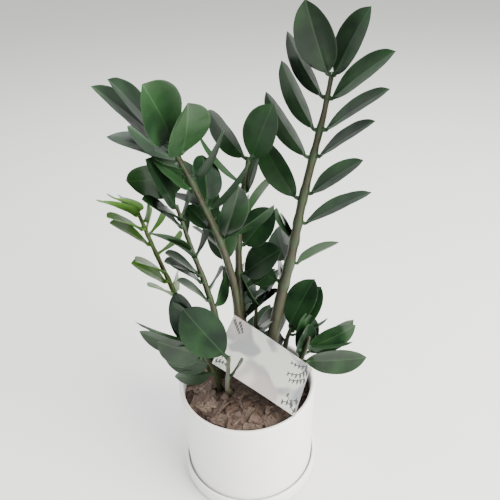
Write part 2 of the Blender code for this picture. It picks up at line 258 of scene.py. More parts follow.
# %% [markdown]
# ## Reading the frame
# A CAD leaflet is a ribbon of four-point rings: two edges, and the midrib above and below. A CAD
# stem is a row of eight-point rings. The importer leaves each solid as loose triangles, so a copy is
# merged first. Walking over the merged mesh from one end, a step at a time, meets the rings in
# order, and each ring tells where the piece runs, how wide it is and which side is its upper one.

# %% Rings of a CAD solid
LEAFLET_RINGS = 8          # from the tip to the stalk
STEM_SIDES = 8


def merged(node):
    """A copy of a CAD node with its loose triangles joined up."""
    shape = bmesh.new()
    shape.from_mesh(frame["nodes"][node].data)
    bmesh.ops.remove_doubles(shape, verts=shape.verts, dist=0.01 * MM)
    return shape


def rings_from(start):
    """Steps over a mesh from the start vertices. Each step gives the next ring."""
    seen, current, rings = set(start), list(start), []
    while current:
        following = []
        for vertex in current:
            for edge in vertex.link_edges:
                other = edge.other_vert(vertex)
                if other not in seen:
                    seen.add(other)
                    following.append(other)
        if following:
            rings.append(following)
        current = following
    return rings


def section(ring):
    """Centre, upper direction and half width of a leaflet's ring."""
    places = [vertex.co for vertex in ring]
    pairs = [(a, b) for k, a in enumerate(places) for b in places[k + 1:]]
    edges = max(pairs, key=lambda pair: (pair[0] - pair[1]).length)
    rib = [p for p in places if p not in edges]
    centre = (rib[0] + rib[1]) / 2
    return centre, (edges[0] + edges[1]) / 2 - centre, (edges[0] - edges[1]).length / 2


def read_stem(node):
    """Centres and radii of a stem's rings, from its foot to its tip."""
    shape = merged(node)
    lowest = sorted(shape.verts, key=lambda vertex: vertex.co.z)[:STEM_SIDES]
    rings = [lowest] + rings_from(lowest)
    centres = [sum((v.co for v in ring), Vector()) / len(ring) for ring in rings]
    radii = [sum((v.co - c).length for v in ring) / len(ring) for ring, c in zip(rings, centres)]
    shape.free()
    return centres, radii


def read_leaflets(node):
    """The leaflets of a node. Each is a list of (centre, upper direction, half width), stalk first."""
    shape = merged(node)
    found = []
    for vertex in shape.verts:
        rings = rings_from([vertex])[:LEAFLET_RINGS]
        if len(rings) == LEAFLET_RINGS and all(len(ring) == 4 for ring in rings):
            sections = [section(ring) for ring in reversed(rings)]
            found.append(sections + [(vertex.co.copy(), sections[-1][1], 0.0)])
    shape.free()
    return found


def frond_of(node):
    """The frond of a leaflet node: leaflets_tall_left_3 grows on tall_left."""
    return node.split("_", 1)[1].rsplit("_", 1)[0]


stems = {n: read_stem(n) for n in sorted(frame["nodes"]) if n.startswith("stem_")}
leaflets = {n: read_leaflets(n) for n in sorted(frame["nodes"]) if n.startswith("leaflet")}
for node, rows in leaflets.items():
    assert len(rows) == (2 if node.startswith("leaflets_") else 1), node
print("stems:", len(stems), "leaflet nodes:", len(leaflets),
      "leaflets:", sum(len(rows) for rows in leaflets.values()))

# %% [markdown]
# ## Leaflets
# A zz leaflet is thick for its size, about 0.6 mm, with a sunken midrib above, a raised one below and
# a rim that curls up a little. Modelling over a hundred of them by hand would be slow, and one copied
# leaflet would look stamped. Instead one tree sweeps a lens-shaped loop along each leaflet's
# own midrib and works out every point from four numbers: how far along, how far across, the half
# width there and the upper direction.

# %% The leaflet tree
MATH = "ShaderNodeMath"
VECTOR = "ShaderNodeVectorMath"
NAMED = "GeometryNodeInputNamedAttribute"
STORE = "GeometryNodeStoreNamedAttribute"


def leaflet_tree():
    tree = new_tree("leaflet", {
        "Rows": "NodeSocketInt", "Loop": "NodeSocketInt", "Thickness": "NodeSocketFloat",
        "Stalk": "NodeSocketFloat", "Cup": "NodeSocketFloat", "Groove": "NodeSocketFloat",
        "Rib": "NodeSocketFloat", "Wave": "NodeSocketFloat", "Finish": "NodeSocketMaterial"})
    given = add_node(tree, "NodeGroupInput").outputs

    # The rail: a smooth curve through the guide's points, which remembers its own place.
    rail = add_node(tree, "GeometryNodeMeshToCurve", {0: given["Guide"]})
    rail = add_node(tree, "GeometryNodeCurveSplineType", {0: rail}, spline_type="CATMULL_ROM")
    rail = add_node(tree, "GeometryNodeResampleCurve", {"Curve": rail, "Count": given["Rows"]})
    spline = add_node(tree, "GeometryNodeSplineParameter").outputs
    for label, kind, value in (
            ("rail", "FLOAT_VECTOR", add_node(tree, "GeometryNodeInputPosition")),
            ("ahead", "FLOAT_VECTOR", add_node(tree, "GeometryNodeInputTangent")),
            ("along", "FLOAT", spline["Factor"]), ("reach", "FLOAT", spline["Length"])):
        rail = add_node(tree, STORE, {"Geometry": rail, "Name": label, "Value": value}, data_type=kind)

    # The loop: a circle, whose width becomes the place across and whose height the upper or lower side.
    loop = add_node(tree, "GeometryNodeCurvePrimitiveCircle", {"Resolution": given["Loop"], "Radius": 1.0})
    split = add_node(tree, "ShaderNodeSeparateXYZ", {0: add_node(tree, "GeometryNodeInputPosition")})
    size = add_node(tree, MATH, {0: split.outputs["X"]}, operation="ABSOLUTE")
    size = add_node(tree, MATH, {0: size, 1: 1.6}, operation="POWER")
    sign = add_node(tree, MATH, {0: split.outputs["X"]}, operation="SIGN")
    across = add_node(tree, MATH, {0: size, 1: sign}, operation="MULTIPLY")
    loop = add_node(tree, STORE, {"Geometry": loop, "Name": "across", "Value": across})
    loop = add_node(tree, STORE, {"Geometry": loop, "Name": "face", "Value": split.outputs["Y"]})
    swept = add_node(tree, "GeometryNodeCurveToMesh",
                     {"Curve": rail, "Profile Curve": loop, "Fill Caps": True})

    # Named values on the swept mesh.
    value = {label: add_node(tree, NAMED, {"Name": label}, data_type="FLOAT")
             for label in ("across", "face", "along", "half_width", "tone")}
    vector = {label: add_node(tree, NAMED, {"Name": label}, data_type="FLOAT_VECTOR")
              for label in ("rail", "ahead", "upper")}
    side = add_node(tree, VECTOR, {0: vector["upper"], 1: vector["ahead"]}, operation="CROSS_PRODUCT")
    side = add_node(tree, VECTOR, {0: side}, operation="NORMALIZE")
    up = add_node(tree, VECTOR, {0: vector["ahead"], 1: side}, operation="CROSS_PRODUCT")

    # How far this point lies from the midrib, and how strongly it belongs to the blade.
    out = add_node(tree, MATH, {0: value["across"], 1: value["half_width"]}, operation="MULTIPLY")
    edge = add_node(tree, MATH, {0: value["across"]}, operation="ABSOLUTE")
    blade = add_node(tree, "ShaderNodeMapRange", {"Value": value["half_width"], "From Min": 1.6 * MM,
                                                  "From Max": 6 * MM}, interpolation_type="SMOOTHSTEP")
    near = add_node(tree, MATH, {0: out, 1: 1.3 * MM}, operation="DIVIDE")
    near = add_node(tree, MATH, {0: near, 1: near}, operation="MULTIPLY")
    near = add_node(tree, MATH, {0: near, 1: -1.0}, operation="MULTIPLY")
    near = add_node(tree, MATH, {0: near}, operation="EXPONENT")

    # The rim stands up, and waves a little from leaflet to leaflet.
    cup = add_node(tree, MATH, {0: edge, 1: 1.7}, operation="POWER")
    cup = add_node(tree, MATH, {0: cup, 1: value["half_width"]}, operation="MULTIPLY")
    cup = add_node(tree, MATH, {0: cup, 1: given["Cup"]}, operation="MULTIPLY")
    shift = add_node(tree, MATH, {0: value["tone"], 1: 40.0}, operation="MULTIPLY")
    ripple = add_node(tree, "ShaderNodeTexNoise", {"Vector": vector["rail"], "W": shift, "Scale": 60.0,
                                                   "Detail": 1.0}, noise_dimensions="4D")
    ripple = add_node(tree, "ShaderNodeMapRange", {"Value": ripple.outputs["Fac"], "To Min": -1.0})
    hand = add_node(tree, MATH, {0: value["across"], 1: edge}, operation="MULTIPLY")
    wave = add_node(tree, MATH, {0: ripple, 1: hand}, operation="MULTIPLY")
    wave = add_node(tree, MATH, {0: wave, 1: given["Wave"]}, operation="MULTIPLY")
    wave = add_node(tree, MATH, {0: wave, 1: blade}, operation="MULTIPLY")
    rise = add_node(tree, MATH, {0: cup, 1: wave}, operation="ADD")

    # Half the thickness: a round stalk that turns into a thin blade with a soft rim and a fine tip.
    past_stalk = add_node(tree, "ShaderNodeMapRange", {"Value": value["along"], "From Min": 0.12,
                                                       "From Max": 0.4})
    flat_part = add_node(tree, MATH, {0: blade, 1: past_stalk}, operation="MAXIMUM")
    thick = add_node(tree, "ShaderNodeMapRange", {"Value": flat_part, "To Min": given["Stalk"],
                                                  "To Max": given["Thickness"]})
    tip = add_node(tree, "ShaderNodeMapRange", {"Value": value["along"], "From Min": 0.95,
                                                "From Max": 1.0, "To Min": 1.0, "To Max": 0.1})
    thick = add_node(tree, MATH, {0: thick, 1: tip}, operation="MULTIPLY")
    round_off = add_node(tree, MATH, {0: value["face"]}, operation="ABSOLUTE")
    round_off = add_node(tree, MATH, {0: round_off, 1: 0.6}, operation="POWER")
    top = add_node(tree, MATH, {0: value["face"]}, operation="SIGN")
    thick = add_node(tree, MATH, {0: thick, 1: round_off}, operation="MULTIPLY")
    thick = add_node(tree, MATH, {0: thick, 1: top}, operation="MULTIPLY")
    rise = add_node(tree, MATH, {0: rise, 1: thick}, operation="ADD")

    # The midrib: sunken above, standing out below, and fading towards the tip.
    below_side = add_node(tree, MATH, {0: value["face"], 1: 0.0}, operation="LESS_THAN")
    fade = add_node(tree, "ShaderNodeMapRange", {"Value": value["along"], "From Min": 0.1, "From Max": 1.0,
                                                 "To Min": 1.0, "To Max": 0.15})
    depth = add_node(tree, "ShaderNodeMix", {0: below_side, 2: given["Groove"], 3: given["Rib"]})
    depth = add_node(tree, MATH, {0: depth, 1: near}, operation="MULTIPLY")
    depth = add_node(tree, MATH, {0: depth, 1: fade}, operation="MULTIPLY")
    depth = add_node(tree, MATH, {0: depth, 1: blade}, operation="MULTIPLY")
    rise = add_node(tree, MATH, {0: rise, 1: depth}, operation="SUBTRACT")

    sideways = add_node(tree, VECTOR, {0: side, "Scale": out}, operation="SCALE")
    upwards = add_node(tree, VECTOR, {0: up, "Scale": rise}, operation="SCALE")
    place = add_node(tree, VECTOR, {0: vector["rail"], 1: sideways}, operation="ADD")
    place = add_node(tree, VECTOR, {0: place, 1: upwards}, operation="ADD")
    shape = add_node(tree, "GeometryNodeSetPosition", {"Geometry": swept, "Position": place})
    shape = add_node(tree, "GeometryNodeSetShadeSmooth", {0: shape})
    shape = add_node(tree, "GeometryNodeRealizeInstances", {0: shape})
    shape = add_node(tree, "GeometryNodeSetMaterial", {"Geometry": shape, "Material": given["Finish"]})
    add_node(tree, "NodeGroupOutput", {0: shape})
    return tree


leaflet_shape = leaflet_tree()
print("leaflet tree:", len(leaflet_shape.nodes), "nodes")

# %% [markdown]
# ### Leaf cuticle
# The upper side is dark green under a thin, satin layer of wax. The midrib is a fine paler line, side
# veins arch from it towards the tip and barely show, and the rim is a little paler too. The under
# side is a duller, even green. The pattern is drawn from the values that the tree
# stored on the mesh, so it bends with every leaflet.

# %% Leaf finish
VEIN_SPACING = 3.4 * MM        # between side veins, measured along the midrib
VEIN_SLANT = 1.5               # how far a vein climbs for each unit outwards


def leaf_finish(name, deep, bright, vein, under):
    """Waxed leaf cuticle. deep and bright are the blade's two greens, and under is the lower side's."""
    made, tree = new_finish(name)
    value = {label: add_node(tree, "ShaderNodeAttribute", attribute_name=label).outputs["Fac"]
             for label in ("across", "face", "half_width", "reach", "tone")}
    place = add_node(tree, "ShaderNodeTexCoord").outputs["Object"]

    # Blotches of two greens, some leaflets brighter than others.
    cloud = add_node(tree, "ShaderNodeTexNoise", {"Vector": place, "Scale": 45.0, "Detail": 3.0})
    mixed = add_node(tree, MATH, {0: value["tone"], 1: -0.5}, operation="ADD")
    cloudy = add_node(tree, "ShaderNodeMapRange", {"Value": cloud.outputs["Fac"], "From Min": 0.3,
                                                   "From Max": 0.7})
    mixed = add_node(tree, MATH, {0: mixed, 1: cloudy}, operation="ADD", use_clamp=True)
    green = add_node(tree, "ShaderNodeMix", {0: mixed, 6: linear(deep), 7: linear(bright)}, data_type="RGBA")

    # Side veins: a wave along a slanted, slightly bent coordinate.
    out = add_node(tree, MATH, {0: value["across"], 1: value["half_width"]}, operation="MULTIPLY")
    far = add_node(tree, MATH, {0: out}, operation="ABSOLUTE")
    climb = add_node(tree, MATH, {0: far, 1: VEIN_SLANT}, operation="MULTIPLY")
    climb = add_node(tree, MATH, {0: value["reach"], 1: climb}, operation="SUBTRACT")
    bend = add_node(tree, "ShaderNodeTexNoise", {"Vector": place, "Scale": 90.0, "Detail": 1.0})
    bend = add_node(tree, MATH, {0: bend.outputs["Fac"], 1: 2.2 * MM}, operation="MULTIPLY")
    climb = add_node(tree, MATH, {0: climb, 1: bend}, operation="ADD")
    climb = add_node(tree, MATH, {0: climb, 1: 2 * math.pi / VEIN_SPACING}, operation="MULTIPLY")
    ridge = add_node(tree, MATH, {0: climb}, operation="COSINE")
    ridge = add_node(tree, "ShaderNodeMapRange", {"Value": ridge, "From Min": 0.2, "From Max": 1.0},
                     interpolation_type="SMOOTHSTEP")

    # The midrib is a narrow band, and the rim the last twentieth of the way across.
    midrib = add_node(tree, "ShaderNodeMapRange", {"Value": far, "From Min": 0.25 * MM,
                                                   "From Max": 0.9 * MM, "To Min": 1.0, "To Max": 0.0},
                      interpolation_type="SMOOTHSTEP")
    edge = add_node(tree, MATH, {0: value["across"]}, operation="ABSOLUTE")
    rim = add_node(tree, "ShaderNodeMapRange", {"Value": edge, "From Min": 0.93, "From Max": 0.99})

    faint = add_node(tree, MATH, {0: ridge, 1: 0.035}, operation="MULTIPLY")
    green = add_node(tree, "ShaderNodeMix", {0: faint, 6: green.outputs[2], 7: linear(vein)},
                     data_type="RGBA")
    line = add_node(tree, MATH, {0: midrib, 1: 0.22}, operation="MULTIPLY")
    green = add_node(tree, "ShaderNodeMix", {0: line, 6: green.outputs[2], 7: linear(vein)},
                     data_type="RGBA")
    pale = add_node(tree, MATH, {0: rim, 1: 0.12}, operation="MULTIPLY")
    green = add_node(tree, "ShaderNodeMix", {0: pale, 6: green.outputs[2], 7: linear(vein)},
                     data_type="RGBA")
    lower = add_node(tree, "ShaderNodeMapRange", {"Value": value["face"], "From Min": -0.12,
                                                  "From Max": -0.02, "To Min": 1.0, "To Max": 0.0})
    back = add_node(tree, "ShaderNodeMix", {0: faint, 6: linear(under), 7: linear(vein)}, data_type="RGBA")
    colour = add_node(tree, "ShaderNodeMix", {0: lower, 6: green.outputs[2], 7: back.outputs[2]},
                      data_type="RGBA")

    # Wax is smooth above and worn to satin in patches; the under side is matt.
    patch = add_node(tree, "ShaderNodeTexNoise", {"Vector": place, "Scale": 120.0, "Detail": 4.0})
    satin = add_node(tree, "ShaderNodeMapRange", {"Value": patch.outputs["Fac"], "From Min": 0.3,
                                                  "From Max": 0.7, "To Min": 0.28, "To Max": 0.42})
    rough = add_node(tree, "ShaderNodeMix", {0: lower, 2: satin, 3: 0.55})

    # Relief: the tissue swells a little between the veins, with a fine pebbled skin.
    skin = add_node(tree, "ShaderNodeTexNoise", {"Vector": place, "Scale": 900.0, "Detail": 2.0})
    skin = add_node(tree, MATH, {0: skin.outputs["Fac"], 1: 0.25}, operation="MULTIPLY")
    furrow = add_node(tree, MATH, {0: ridge, 1: 0.25}, operation="MULTIPLY")
    relief = add_node(tree, MATH, {0: skin, 1: furrow}, operation="SUBTRACT")
    bump = add_node(tree, "ShaderNodeBump", {"Height": relief, "Distance": 0.06 * MM, "Strength": 1.0})

    dress_shader(tree, {"Base Color": colour.outputs[2], "Roughness": rough.outputs[0],
                        "Normal": bump.outputs[0]}, {
        "IOR": 1.42, "Specular IOR Level": 0.38, "Coat Weight": 0.06, "Coat Roughness": 0.1})
    return made


waxed_leaf = leaf_finish("waxed_leaf", "#0b1e0f", "#203b1f", "#486641", "#1d361c")
waxed_young_leaf = leaf_finish("waxed_young_leaf", "#2c4f10", "#4b7a1c", "#7fa244", "#49702a")

# %% [markdown]
# ### Grow the leaflets
# Each guide starts inside the stem, so the stalk leaves it without a seam, and then passes through
# the centres of the CAD rings. A seeded random number sets each leaflet's tone.

# %% Leaflet guides and pieces
LEAF_SIZES = {"Rows": 44, "Loop": 36, "Thickness": 0.32 * MM, "Stalk": 1.4 * MM, "Cup": 0.2,
              "Groove": 0.42 * MM, "Rib": 0.75 * MM, "Wave": 0.9 * MM}
STALK_HALF_WIDTH = 2.3 * MM     # inside the stem
STALK_LEAST = 1.8 * MM          # least half width of the stalk's points
STALK_POINTS = 3                # its start inside the stem, and the next two rings
ROOT_DEPTH = 0.75               # how far into the stem a stalk starts, as a share of the way to its axis
YOUNG_FROND = "young_left"

tones = random.Random(7)


def nearest_on(path, point):
    """The place on a stem's axis nearest to a point."""
    best = None
    for a, b in zip(path, path[1:]):
        step = b - a
        share = min(max((point - a).dot(step) / step.length_squared, 0.0), 1.0)
        place = a + step * share
        if best is None or (place - point).length < (best - point).length:
            best = place
    return best


def chain_guide(name, found, axis):
    """The guide for one piece: one chain of points for each of its leaflets."""
    points, edges, columns = [], [], {"half_width": [], "upper": [], "tone": []}
    for rows in found:
        root = rows[0][0]
        start = root.lerp(nearest_on(axis, root), ROOT_DEPTH)
        tone = tones.random()
        chain = [(start, rows[1][1], STALK_HALF_WIDTH)] + rows
        for number, (centre, upper, half_width) in enumerate(chain):
            if upper.length < 0.01 * MM:
                upper = rows[1][1]
            points.append(centre)
            columns["half_width"].append(max(half_width, STALK_LEAST) if number < STALK_POINTS
                                         else half_width)
            columns["upper"].append(tuple(upper.normalized()))
            columns["tone"].append(tone)
        first = len(points) - len(chain)
        edges += [(k, k + 1) for k in range(first, len(points) - 1)]
    return guide_mesh(name + "_guide", points, edges, columns)


leaf_faces = 0
for node in leaflets:
    young = YOUNG_FROND in node
    finish = waxed_young_leaf if young else waxed_leaf
    axis = stems["stem_" + frond_of(node)][0]
    grown = grow(node.replace("leaflet", "leaf", 1), chain_guide(node, leaflets[node], axis),
                 leaflet_shape, {**LEAF_SIZES, "Finish": finish})
    settle(grown, "young_leaf" if young else "leaf", node)
    leaf_faces += len(grown.data.polygons)
print("leaflet faces:", leaf_faces)

# %% [markdown]
# ### The inner leaflets
# The CAD model carries the leaflets that give the plant its outline. The ones in the shade of its
# heart, and some low at both sides, are placed here on the same stems: each one by its share along
# the stem, its side, three angles, its length and its width. The angles are measured from the
# direction of growth there and from the side that the frond's own leaflets face.

# %% Place leaflets along a stem
BLADE_OUTLINE = ((0.09, 0.32), (0.21, 0.70), (0.37, 0.95), (0.55, 1.00), (0.73, 0.87), (0.89, 0.52))
INNER_ARCH = 0.03               # height of the middle above the chord, as a share of the length
INNER_STALK = (3, 5)            # millimetres from the stem's axis to a stalk's two rings
MIDDLE_RING = 4                 # the ring of a CAD leaflet whose upper side stands for the leaflet's
SOIL_DROP = 3 * MM              # from the soil's highest point down to where a stem's share starts
FOOT_MARGIN = 0.5 * MM

# stem, share, side, angle away, lift, roll, length and width in millimetres
INNER_LEAFLETS = (
    ("tall_left", 0.64, 1, 67, -41, 20, 62, 36),
    ("tall_left", 0.54, 1, 77, -36, 15, 58, 32),
    ("tall_left", 0.65, -1, -42, -76, 0, 42, 26),
    ("tall_left", 0.47, 1, 52, -27, -90, 48, 30),
    ("tall_left", 0.50, -1, -42, -60, 20, 40, 24),
    ("tall_left", 0.59, 1, 65, -36, -75, 54, 30),
    ("centre", 0.44, 1, 153, -16, -10, 42, 26),
    ("centre", 0.36, 1, 22, -60, 45, 44, 24),
    ("centre", 0.28, 1, 28, -43, 50, 52, 26),
    ("centre", 0.36, -1, 63, -35, 10, 40, 24),
    ("centre", 0.30, -1, 74, -38, -55, 40, 24),
    ("centre", 0.32, 1, 7, -76, 30, 36, 22),
    ("centre", 0.58, -1, 61, -37, 15, 44, 28),
    ("tall_right", 0.45, -1, 100, -12, -10, 46, 30),
    ("tall_right", 0.30, -1, 88, -26, -5, 42, 24),
    ("tall_right", 0.20, -1, 93, -29, 10, 44, 24),
    ("tall_right", 0.35, -1, 101, -16, -15, 44, 26),
    ("tall_left", 0.77, -1, 74, -74, -5, 50, 34),
    ("tall_left", 0.83, -1, 4, -63, 40, 56, 34),
    ("slim_left", 0.88, -1, 24, -22, 35, 36, 26),
    ("slim_left", 0.71, -1, 16, -20, 30, 44, 24),
    ("slim_left", 0.60, -1, 12, -33, 25, 46, 26),
    ("young_left", 0.96, -1, 30, -17, 45, 48, 26),
    ("young_left", 0.80, 1, 100, 12, -30, 38, 22),
    ("young_left", 0.59, -1, 25, -23, 30, 46, 26),
    ("low_left", 0.63, -1, 40, 2, 20, 52, 32),
    ("low_left", 0.46, -1, 84, -13, 20, 48, 30),
    ("low_left", 0.72, 1, -34, -44, 0, 54, 30),
    ("low_right", 0.69, 1, 60, -2, 20, 56, 28),
    ("low_right", 0.59, -1, 7, -24, 15, 46, 30),
    ("centre", 0.20, 1, 30, -45, 45, 50, 28),
    ("centre", 0.14, -1, 35, -45, 30, 46, 26),
    ("centre", 0.10, 1, 12, -60, 30, 48, 26),
    ("short_centre", 0.55, 1, 30, -30, 30, 46, 26),
    ("short_centre", 0.35, -1, 40, -30, 30, 44, 26),
    ("tall_right", 0.12, -1, 50, -40, 20, 46, 26),
)


def stem_frame(frond, share):
    """Place, direction of growth, upper side and right side at a share of the stem above the soil."""
    centres = [c for c in stems["stem_" + frond][0] if c.z > soil_top - FOOT_MARGIN]
    steps = [(b - a).length for a, b in zip(centres, centres[1:])]
    k = min(int(share * (len(centres) - 1)), len(centres) - 2)
    place = centres[k].lerp(centres[k + 1], share * (len(centres) - 1) - k)
    growth = (centres[min(k + 2, len(centres) - 1)] - centres[max(k - 1, 0)]).normalized()
    facing = sum((rows[MIDDLE_RING][1].normalized() for node, found in leaflets.items() for rows in found
                  if frond_of(node) == frond), Vector())
    upper = (facing - growth * facing.dot(growth)).normalized()
    return place, growth, upper, growth.cross(upper)


def inner_rows(frond, share, hand, away, lift, roll, length, width):
    """Sections of one leaflet like those read from the frame: centre, upper direction, half width."""
    away, lift, roll = (math.radians(v) for v in (away, lift, roll))
    place, growth, upper, right = stem_frame(frond, share)
    level = growth * math.cos(away) + right * hand * math.sin(away)
    ahead = level * math.cos(lift) + upper * math.sin(lift)
    flat = (upper - ahead * upper.dot(ahead)).normalized()
    up = flat * math.cos(roll) + flat.cross(ahead) * hand * math.sin(roll)
    rows = [(place + ahead * reach * MM, up, STALK_LEAST) for reach in INNER_STALK]
    for along, breadth in (*BLADE_OUTLINE, (1.0, 0.0)):
        arch = up * INNER_ARCH * length * 4 * along * (1 - along)
        rows.append((place + (ahead * length * along + arch) * MM, up, breadth * width / 2 * MM))
    return rows


soil_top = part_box("soil")[1].z - SOIL_DROP
for number, plan in enumerate(INNER_LEAFLETS, 1):
    name = f"inner_leaf_{plan[0]}_{number}"
    rows = inner_rows(*plan)
    grown = grow(name, chain_guide(name, [rows], stems["stem_" + plan[0]][0]), leaflet_shape,
                 {**LEAF_SIZES, "Finish": waxed_young_leaf if plan[0] == YOUNG_FROND else waxed_leaf})
    settle(grown, "young_leaf" if plan[0] == YOUNG_FROND else "leaf")
    leaf_faces += len(grown.data.polygons)
print("inner leaflets:", len(INNER_LEAFLETS), "faces of all leaflets:", leaf_faces)

# %% [markdown]
# ## Stems
# A zz stem is round and stout, swells where a pair of leaflets sits, and carries dark flecks on
# olive brown. The tree sweeps a circle along the CAD stem's axis. It measures how far each ring is
# from the nearest leaflet root, and swells the ring there: that is one Geometry Proximity node,
# instead of a swelling placed by hand at every pair.

# %% The stem tree
def stem_tree():
    tree = new_tree("stem", {
        "Step": "NodeSocketFloat", "Sides": "NodeSocketInt", "Swelling": "NodeSocketFloat",
        "Swelling Length": "NodeSocketFloat", "Finish": "NodeSocketMaterial"})
    given = add_node(tree, "NodeGroupInput").outputs
    is_root = add_node(tree, NAMED, {"Name": "is_root"}, data_type="FLOAT")
    parts = add_node(tree, "GeometryNodeSeparateGeometry", {"Geometry": given["Guide"], "Selection": is_root},
                     domain="POINT")
    rail = add_node(tree, "GeometryNodeMeshToCurve", {0: parts.outputs["Inverted"]})
    rail = add_node(tree, "GeometryNodeCurveSplineType", {0: rail}, spline_type="CATMULL_ROM")
    rail = add_node(tree, "GeometryNodeResampleCurve", {"Curve": rail, "Length": given["Step"]},
                    mode="LENGTH")
    roots = add_node(tree, "GeometryNodeProximity", {0: parts.outputs["Selection"]}, target_element="POINTS")
    swell = add_node(tree, "ShaderNodeMapRange", {
        "Value": roots.outputs["Distance"], "From Min": 0.0, "From Max": given["Swelling Length"],
        "To Min": given["Swelling"], "To Max": 1.0}, interpolation_type="SMOOTHERSTEP")
    radius = add_node(tree, NAMED, {"Name": "stem_radius"}, data_type="FLOAT")
    radius = add_node(tree, MATH, {0: radius, 1: swell}, operation="MULTIPLY")
    rail = add_node(tree, STORE, {"Geometry": rail, "Name": "swell", "Value": swell})
    rail = add_node(tree, "GeometryNodeSetCurveRadius", {"Curve": rail, "Radius": radius})
    loop = add_node(tree, "GeometryNodeCurvePrimitiveCircle", {"Resolution": given["Sides"], "Radius": 1.0})
    own_radius = add_node(tree, "GeometryNodeInputRadius")
    swept = add_node(tree, "GeometryNodeCurveToMesh", {
        "Curve": rail, "Profile Curve": loop, "Scale": own_radius, "Fill Caps": True})

    # Slight lengthwise ribs and dents keep the stem from looking like a drawn tube.
    place = add_node(tree, "GeometryNodeInputPosition")
    stretched = add_node(tree, VECTOR, {0: place, 1: (1.0, 1.0, 0.12)}, operation="MULTIPLY")
    dents = add_node(tree, "ShaderNodeTexNoise", {"Vector": stretched, "Scale": 420.0, "Detail": 1.0})
    dents = add_node(tree, "ShaderNodeMapRange", {"Value": dents.outputs["Fac"], "To Min": -0.35 * MM,
                                                  "To Max": 0.35 * MM})
    away = add_node(tree, VECTOR, {0: add_node(tree, "GeometryNodeInputNormal"), "Scale": dents},
                    operation="SCALE")
    shape = add_node(tree, "GeometryNodeSetPosition", {"Geometry": swept, "Offset": away})
    shape = add_node(tree, "GeometryNodeSetShadeSmooth", {0: shape})
    shape = add_node(tree, "GeometryNodeRealizeInstances", {0: shape})
    shape = add_node(tree, "GeometryNodeSetMaterial", {"Geometry": shape, "Material": given["Finish"]})
    add_node(tree, "NodeGroupOutput", {0: shape})
    return tree


stem_shape = stem_tree()
print("stem tree:", len(stem_shape.nodes), "nodes")

# %% [markdown]
# ### Stem skin
# The skin is a satin rind. Its colour runs in lengthwise streaks between olive and grey brown, it is
# darkly flecked, and it turns greener where a leaflet sits.

# %% Stem finish
FLECK_SPACING = 2.6 * MM
STREAK_WIDTH = 2.0 * MM


def stem_finish(name, olive, brown, fleck, joint):
    made, tree = new_finish(name)
    place = add_node(tree, "ShaderNodeTexCoord").outputs["Object"]
    long_way = add_node(tree, "ShaderNodeMapping", {"Vector": place, "Scale": (1.0, 1.0, 0.08)})
    streak = add_node(tree, "ShaderNodeTexNoise", {"Vector": long_way, "Scale": 1 / STREAK_WIDTH,
                                                   "Detail": 3.0})
    streak = add_node(tree, "ShaderNodeMapRange", {"Value": streak.outputs["Fac"], "From Min": 0.35,
                                                   "From Max": 0.65})
    colour = add_node(tree, "ShaderNodeMix", {0: streak, 6: linear(olive), 7: linear(brown)},
                      data_type="RGBA")
    short_way = add_node(tree, "ShaderNodeMapping", {"Vector": place, "Scale": (1.0, 1.0, 0.45)})
    spots = add_node(tree, "ShaderNodeTexVoronoi", {"Vector": short_way, "Scale": 1 / FLECK_SPACING})
    spots = add_node(tree, "ShaderNodeMapRange", {"Value": spots.outputs["Distance"], "From Min": 0.12,
                                                  "From Max": 0.3, "To Min": 0.55, "To Max": 0.0})
    colour = add_node(tree, "ShaderNodeMix", {0: spots, 6: colour.outputs[2], 7: linear(fleck)},
                      data_type="RGBA")
    swell = add_node(tree, "ShaderNodeAttribute", attribute_name="swell").outputs["Fac"]
    green = add_node(tree, "ShaderNodeMapRange", {"Value": swell, "From Min": 1.02, "From Max": 1.16,
                                                  "To Max": 0.6})
    colour = add_node(tree, "ShaderNodeMix", {0: green, 6: colour.outputs[2], 7: linear(joint)},
                      data_type="RGBA")
    rough = add_node(tree, "ShaderNodeMapRange", {"Value": streak, "To Min": 0.36, "To Max": 0.55})
    bump = add_node(tree, "ShaderNodeBump", {"Height": streak, "Distance": 0.12 * MM, "Strength": 0.7})
    dress_shader(tree, {"Base Color": colour.outputs[2], "Roughness": rough.outputs[0],
                        "Normal": bump.outputs[0]}, {"IOR": 1.45})
    return made


rind = stem_finish("stem_rind", "#263018", "#30291d", "#12150c", "#22361a")
young_rind = stem_finish("young_stem_rind", "#414c1e", "#474327", "#262b16", "#436020")

# %% Grow the stems
STEM_SIZES = {"Step": 1.6 * MM, "Sides": 28, "Swelling": 1.16, "Swelling Length": 9 * MM}


def stem_guide(node):
    """The stem's axis as a chain of points, and its leaflet roots as loose points."""
    centres, radii = stems[node]
    frond = node.split("_", 1)[1]
    roots = [rows[0][0] for name, found in leaflets.items() for rows in found
             if frond_of(name) == frond]
    roots = [nearest_on(centres, root) for root in roots]
    edges = [(k, k + 1) for k in range(len(centres) - 1)]
    return guide_mesh(node + "_guide", centres + roots, edges, {
        "stem_radius": radii + [0.0] * len(roots),
        "is_root": [0.0] * len(centres) + [1.0] * len(roots)})


for node in stems:
    finish = young_rind if node == "stem_" + YOUNG_FROND else rind
    grown = grow(node.replace("stem", "stalk", 1), stem_guide(node), stem_shape,
                 {**STEM_SIZES, "Finish": finish})
    settle(grown, "stalk", node)
print("stems grown:", len(stems))

# %% [markdown]
# ## Pot and saucer
# Both are thrown or cast stoneware under a white glaze. A turned shape is an outline spun about the
# middle, so each needs only half an outline, with small round corners where the glaze would run off
# a sharp one. The heights and radii come from the CAD boxes.

